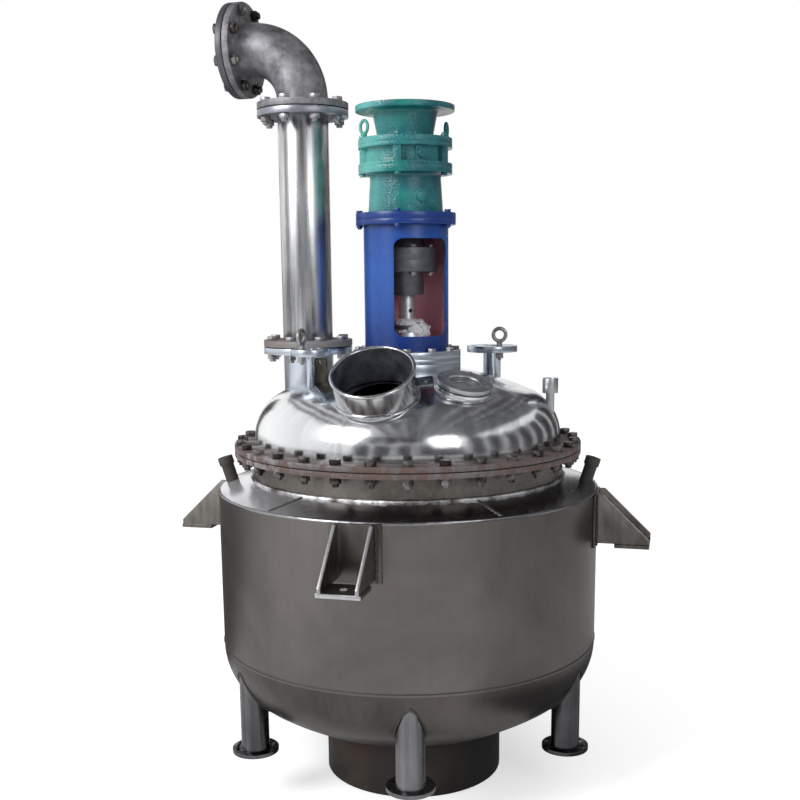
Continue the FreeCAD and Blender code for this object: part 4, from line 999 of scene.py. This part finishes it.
shaft_finish = rolled_steel("ground_shaft", (0.62, 0.63, 0.68), (0.36, 0.36, 0.40), 0.34,
                            (1.0, 1.0, 3.0))
shaft_finish.set("Metallic", 0.75)
dressed("output_shaft", "gear_shaft", shaft_finish, "shaft_steel", body="agitator")
dressed("stirrer_shaft", "long_shaft", shaft_finish, "shaft_steel", body="agitator")
# A thin black disc on the shaft's side stands in for the dark of a drilled hole: painted shade.
shaft_side = Matrix.Translation((0.0, -24.4, 1491.0)) @ Matrix.Rotation(math.radians(90.0), 4, "X")
fitted(moved(rod(6.5, -0.8, 0.8, 0.05, 32), Matrix.Rotation(math.radians(29.0), 4, "Z") @ shaft_side),
       "shaft_hole_painted_shade", gasket_finish, "shaft_steel", body="agitator")
dressed("coupling_upper", "upper_coupling_half", iron_finish, "dark_iron", 1.5, body="agitator")
dressed("coupling_lower", "lower_coupling_half", iron_finish, "dark_iron", 1.5, body="agitator")
dressed("coupling_bolts", "coupling_screws", bolt_finish, "bolt_steel", 0.6, body="agitator")
dressed("anchor", "anchor_blade", neck_finish, "shaft_steel", 1.0, body="agitator")


# Gear reducer.
# Three castings stacked on long bolts through the posts of the middle one, ending in the motor's
# flange. Green enamel over rough castings, with drain and filler plugs and two lifting eyes. The
# green is painted lighter on the left, with brighter blotches there and a pale strip at the far
# left: painted highlight.

green_finish = Finish("green_enamel", (0.015, 0.15, 0.16), 0.24)
# Painted highlight: the green is lighter, and blotched brighter, on the left.
green_painted_highlight = green_finish.leftness(-0.09, 0.1)
green_tone = green_finish.patches(0.36, 0.64, 7.0, 4.0, 0.6)
blotches = green_finish.patches(0.46, 0.60, 5.0, 3.0, 0.5)
teal = green_finish.blend(green_tone * 0.6 + green_painted_highlight * 0.4,
                          (0.005, 0.060, 0.085), (0.020, 0.21, 0.21))
green = green_finish.blend(blotches * green_painted_highlight, teal, (0.010, 0.27, 0.17))
# Pale strip at the far left: a painted highlight.
green_finish.paint(green_finish.leftness(-0.115, -0.055) * 0.6, green, (0.16, 0.48, 0.46))
green_finish.set("Roughness", 0.16 + green_tone * 0.14)
green_finish.height(green_finish.noise(160.0, 3.0, 0.5), 0.0022, 0.85)
dressed("reducer_base", "base_casting", green_finish, "reducer_green", 2.2)
dressed("reducer_body", "ring_casting", green_finish, "reducer_green", 2.0)
dressed("reducer_cover", "cover_casting", green_finish, "reducer_green", 2.0)
dressed("reducer_bolts", "casting_bolts", green_finish, "bolt_steel")
dressed("reducer_plugs", "oil_plugs", green_finish, "bolt_steel", 1.0)
dressed("lifting_eyes", "lifting_rings", green_finish, "reducer_green", 0.0)
dressed("input_sleeve", "motor_sleeve", shaft_finish, "shaft_steel", body="input")


# Studio.
# A pale floor, a white surround and soft lamps high on the left and in front. Boards that only
# the reflections see stand for the dark side, roof, gable and window bars of a hall.


def board(name, finish, width, height, place):
    """Flat piece of the stage."""
    bm = bmesh.new()
    bmesh.ops.create_grid(bm, x_segments=1, y_segments=1, size=0.5,
                          matrix=place @ Matrix.Diagonal((width, height, 1.0, 1.0)))
    mesh = meshed(bm, name)
    mesh.materials.append(finish.material)
    piece = placed(name, mesh)
    return piece


floor_finish = Finish("pale_floor", (0.82, 0.82, 0.82), 0.9)
to_camera = floor_finish.node("LightPath", {"out": "Is Camera Ray"})
floor_finish.set("Emission Color", floor_finish.steps(to_camera, (0.0, 0.0), (1.0, 0.5)))
floor_finish.set("Emission Strength", 1.0)
board("floor", floor_finish, 28.0, 28.0, Matrix.Identity(4))

dark_board_finish = Finish("dark_board", (0.03, 0.03, 0.033), 1.0)
grey_board_finish = Finish("grey_board", (0.14, 0.14, 0.154), 1.0)


def screen(name, finish, width, height, place):
    """Board seen only in reflections."""
    piece = board(name, finish, width, height, place)
    piece.visible_camera = False
    piece.visible_diffuse = False
    piece.visible_shadow = False


def screens_round(name, azimuths, width, height, distance, z):
    """Upright dark boards that face the part, at azimuths counted from the front."""
    at_front = Matrix.Translation((0.0, -distance, z)) @ Matrix.Rotation(math.radians(90.0), 4, "X")
    for number, azimuth in enumerate(azimuths):
        turn = Matrix.Rotation(math.radians(azimuth), 4, "Z")
        screen(f"{name}_{number}", dark_board_finish, width, height, turn @ at_front)


screens_round("right_board", range(35, 156, 15), 1.22, 3.2, 5.6, 1.9)
screens_round("hall_board", (-170.0, -150.0, -32.0, -17.0, -2.0, 13.0, 26.0), 1.25, 2.4, 5.6, 1.5)
roof = ([(dark_board_finish, 0.42)] * 3 + [(dark_board_finish, 0.6)] * 2
        + [(grey_board_finish, 0.71)] * 8)
for number, (finish, width) in enumerate(roof):
    place = Matrix.Translation((-3.6 + 0.76 * number, 0.0, 5.0))
    screen(f"roof_board_{number}", finish, width, 19.0, place)
screens_round("gable_board", range(-48, 49, 12), 1.12, 2.0, 6.4, 4.1)
screens_round("left_bar", [-63.5 + 6.1 * number for number in range(5)], 0.2, 3.0, 4.7, 3.96)
screens_round("front_bar", [19.0 + 5.6 * number for number in range(4)], 0.22, 2.4, 4.8, 2.87)
screen("right_mat", grey_board_finish, 0.8, 2.4, Matrix.Translation((0.95, -0.1, 0.004)))
screen("back_mat", dark_board_finish, 3.6, 4.5, Matrix.Translation((-2.6, 2.9, 0.004)))

world = bpy.data.worlds.new("studio")
world.use_nodes = True
bpy.context.scene.world = world
sky = world.node_tree
paths = sky.nodes.new("ShaderNodeLightPath").outputs
seen = paths["Is Camera Ray"]
for path in ("Is Glossy Ray", "Is Transmission Ray"):
    either = sky.nodes.new("ShaderNodeMath")
    either.operation = "MAXIMUM"
    sky.links.new(seen, either.inputs[0])
    sky.links.new(paths[path], either.inputs[1])
    seen = either.outputs[0]
level = sky.nodes.new("ShaderNodeMapRange")
level.inputs["To Min"].default_value = 0.6
level.inputs["To Max"].default_value = 1.0
sky.links.new(seen, level.inputs["Value"])
sky.links.new(level.outputs["Result"], sky.nodes["Background"].inputs["Strength"])
sky.nodes["Background"].inputs["Color"].default_value = (1.0, 1.0, 1.0, 1.0)


def lamp(name, power, size, *spot):
    """Square soft lamp that points at the middle of the vessel."""
    data = bpy.data.lights.new(name, "AREA")
    data.energy = power
    data.size = size
    light = placed(name, data)
    light.location = spot
    towards = Vector((0.0, 0.0, 1.2)) - light.location
    light.rotation_euler = towards.to_track_quat("-Z", "Y").to_euler()


lamp("left_lamp", 260.0, 2.6, -4.0, -3.2, 4.2)
lamp("front_lamp", 70.0, 2.0, 2.4, -4.6, 3.0)

camera_data = bpy.data.cameras.new("camera")
camera_data.lens = 50.0
camera_data.sensor_width = 36.0
camera_data.shift_x = -0.0101
camera_data.shift_y = 0.1
camera = placed("camera", camera_data)
camera.location = (0.0, -3.51035, 1.59696)
camera.rotation_euler = (Matrix.Rotation(math.radians(79.594), 3, "X")
                         @ Matrix.Rotation(math.radians(-0.4874), 3, "Z")).to_euler()
bpy.context.scene.camera = camera
bpy.context.scene.view_settings.view_transform = "Standard"
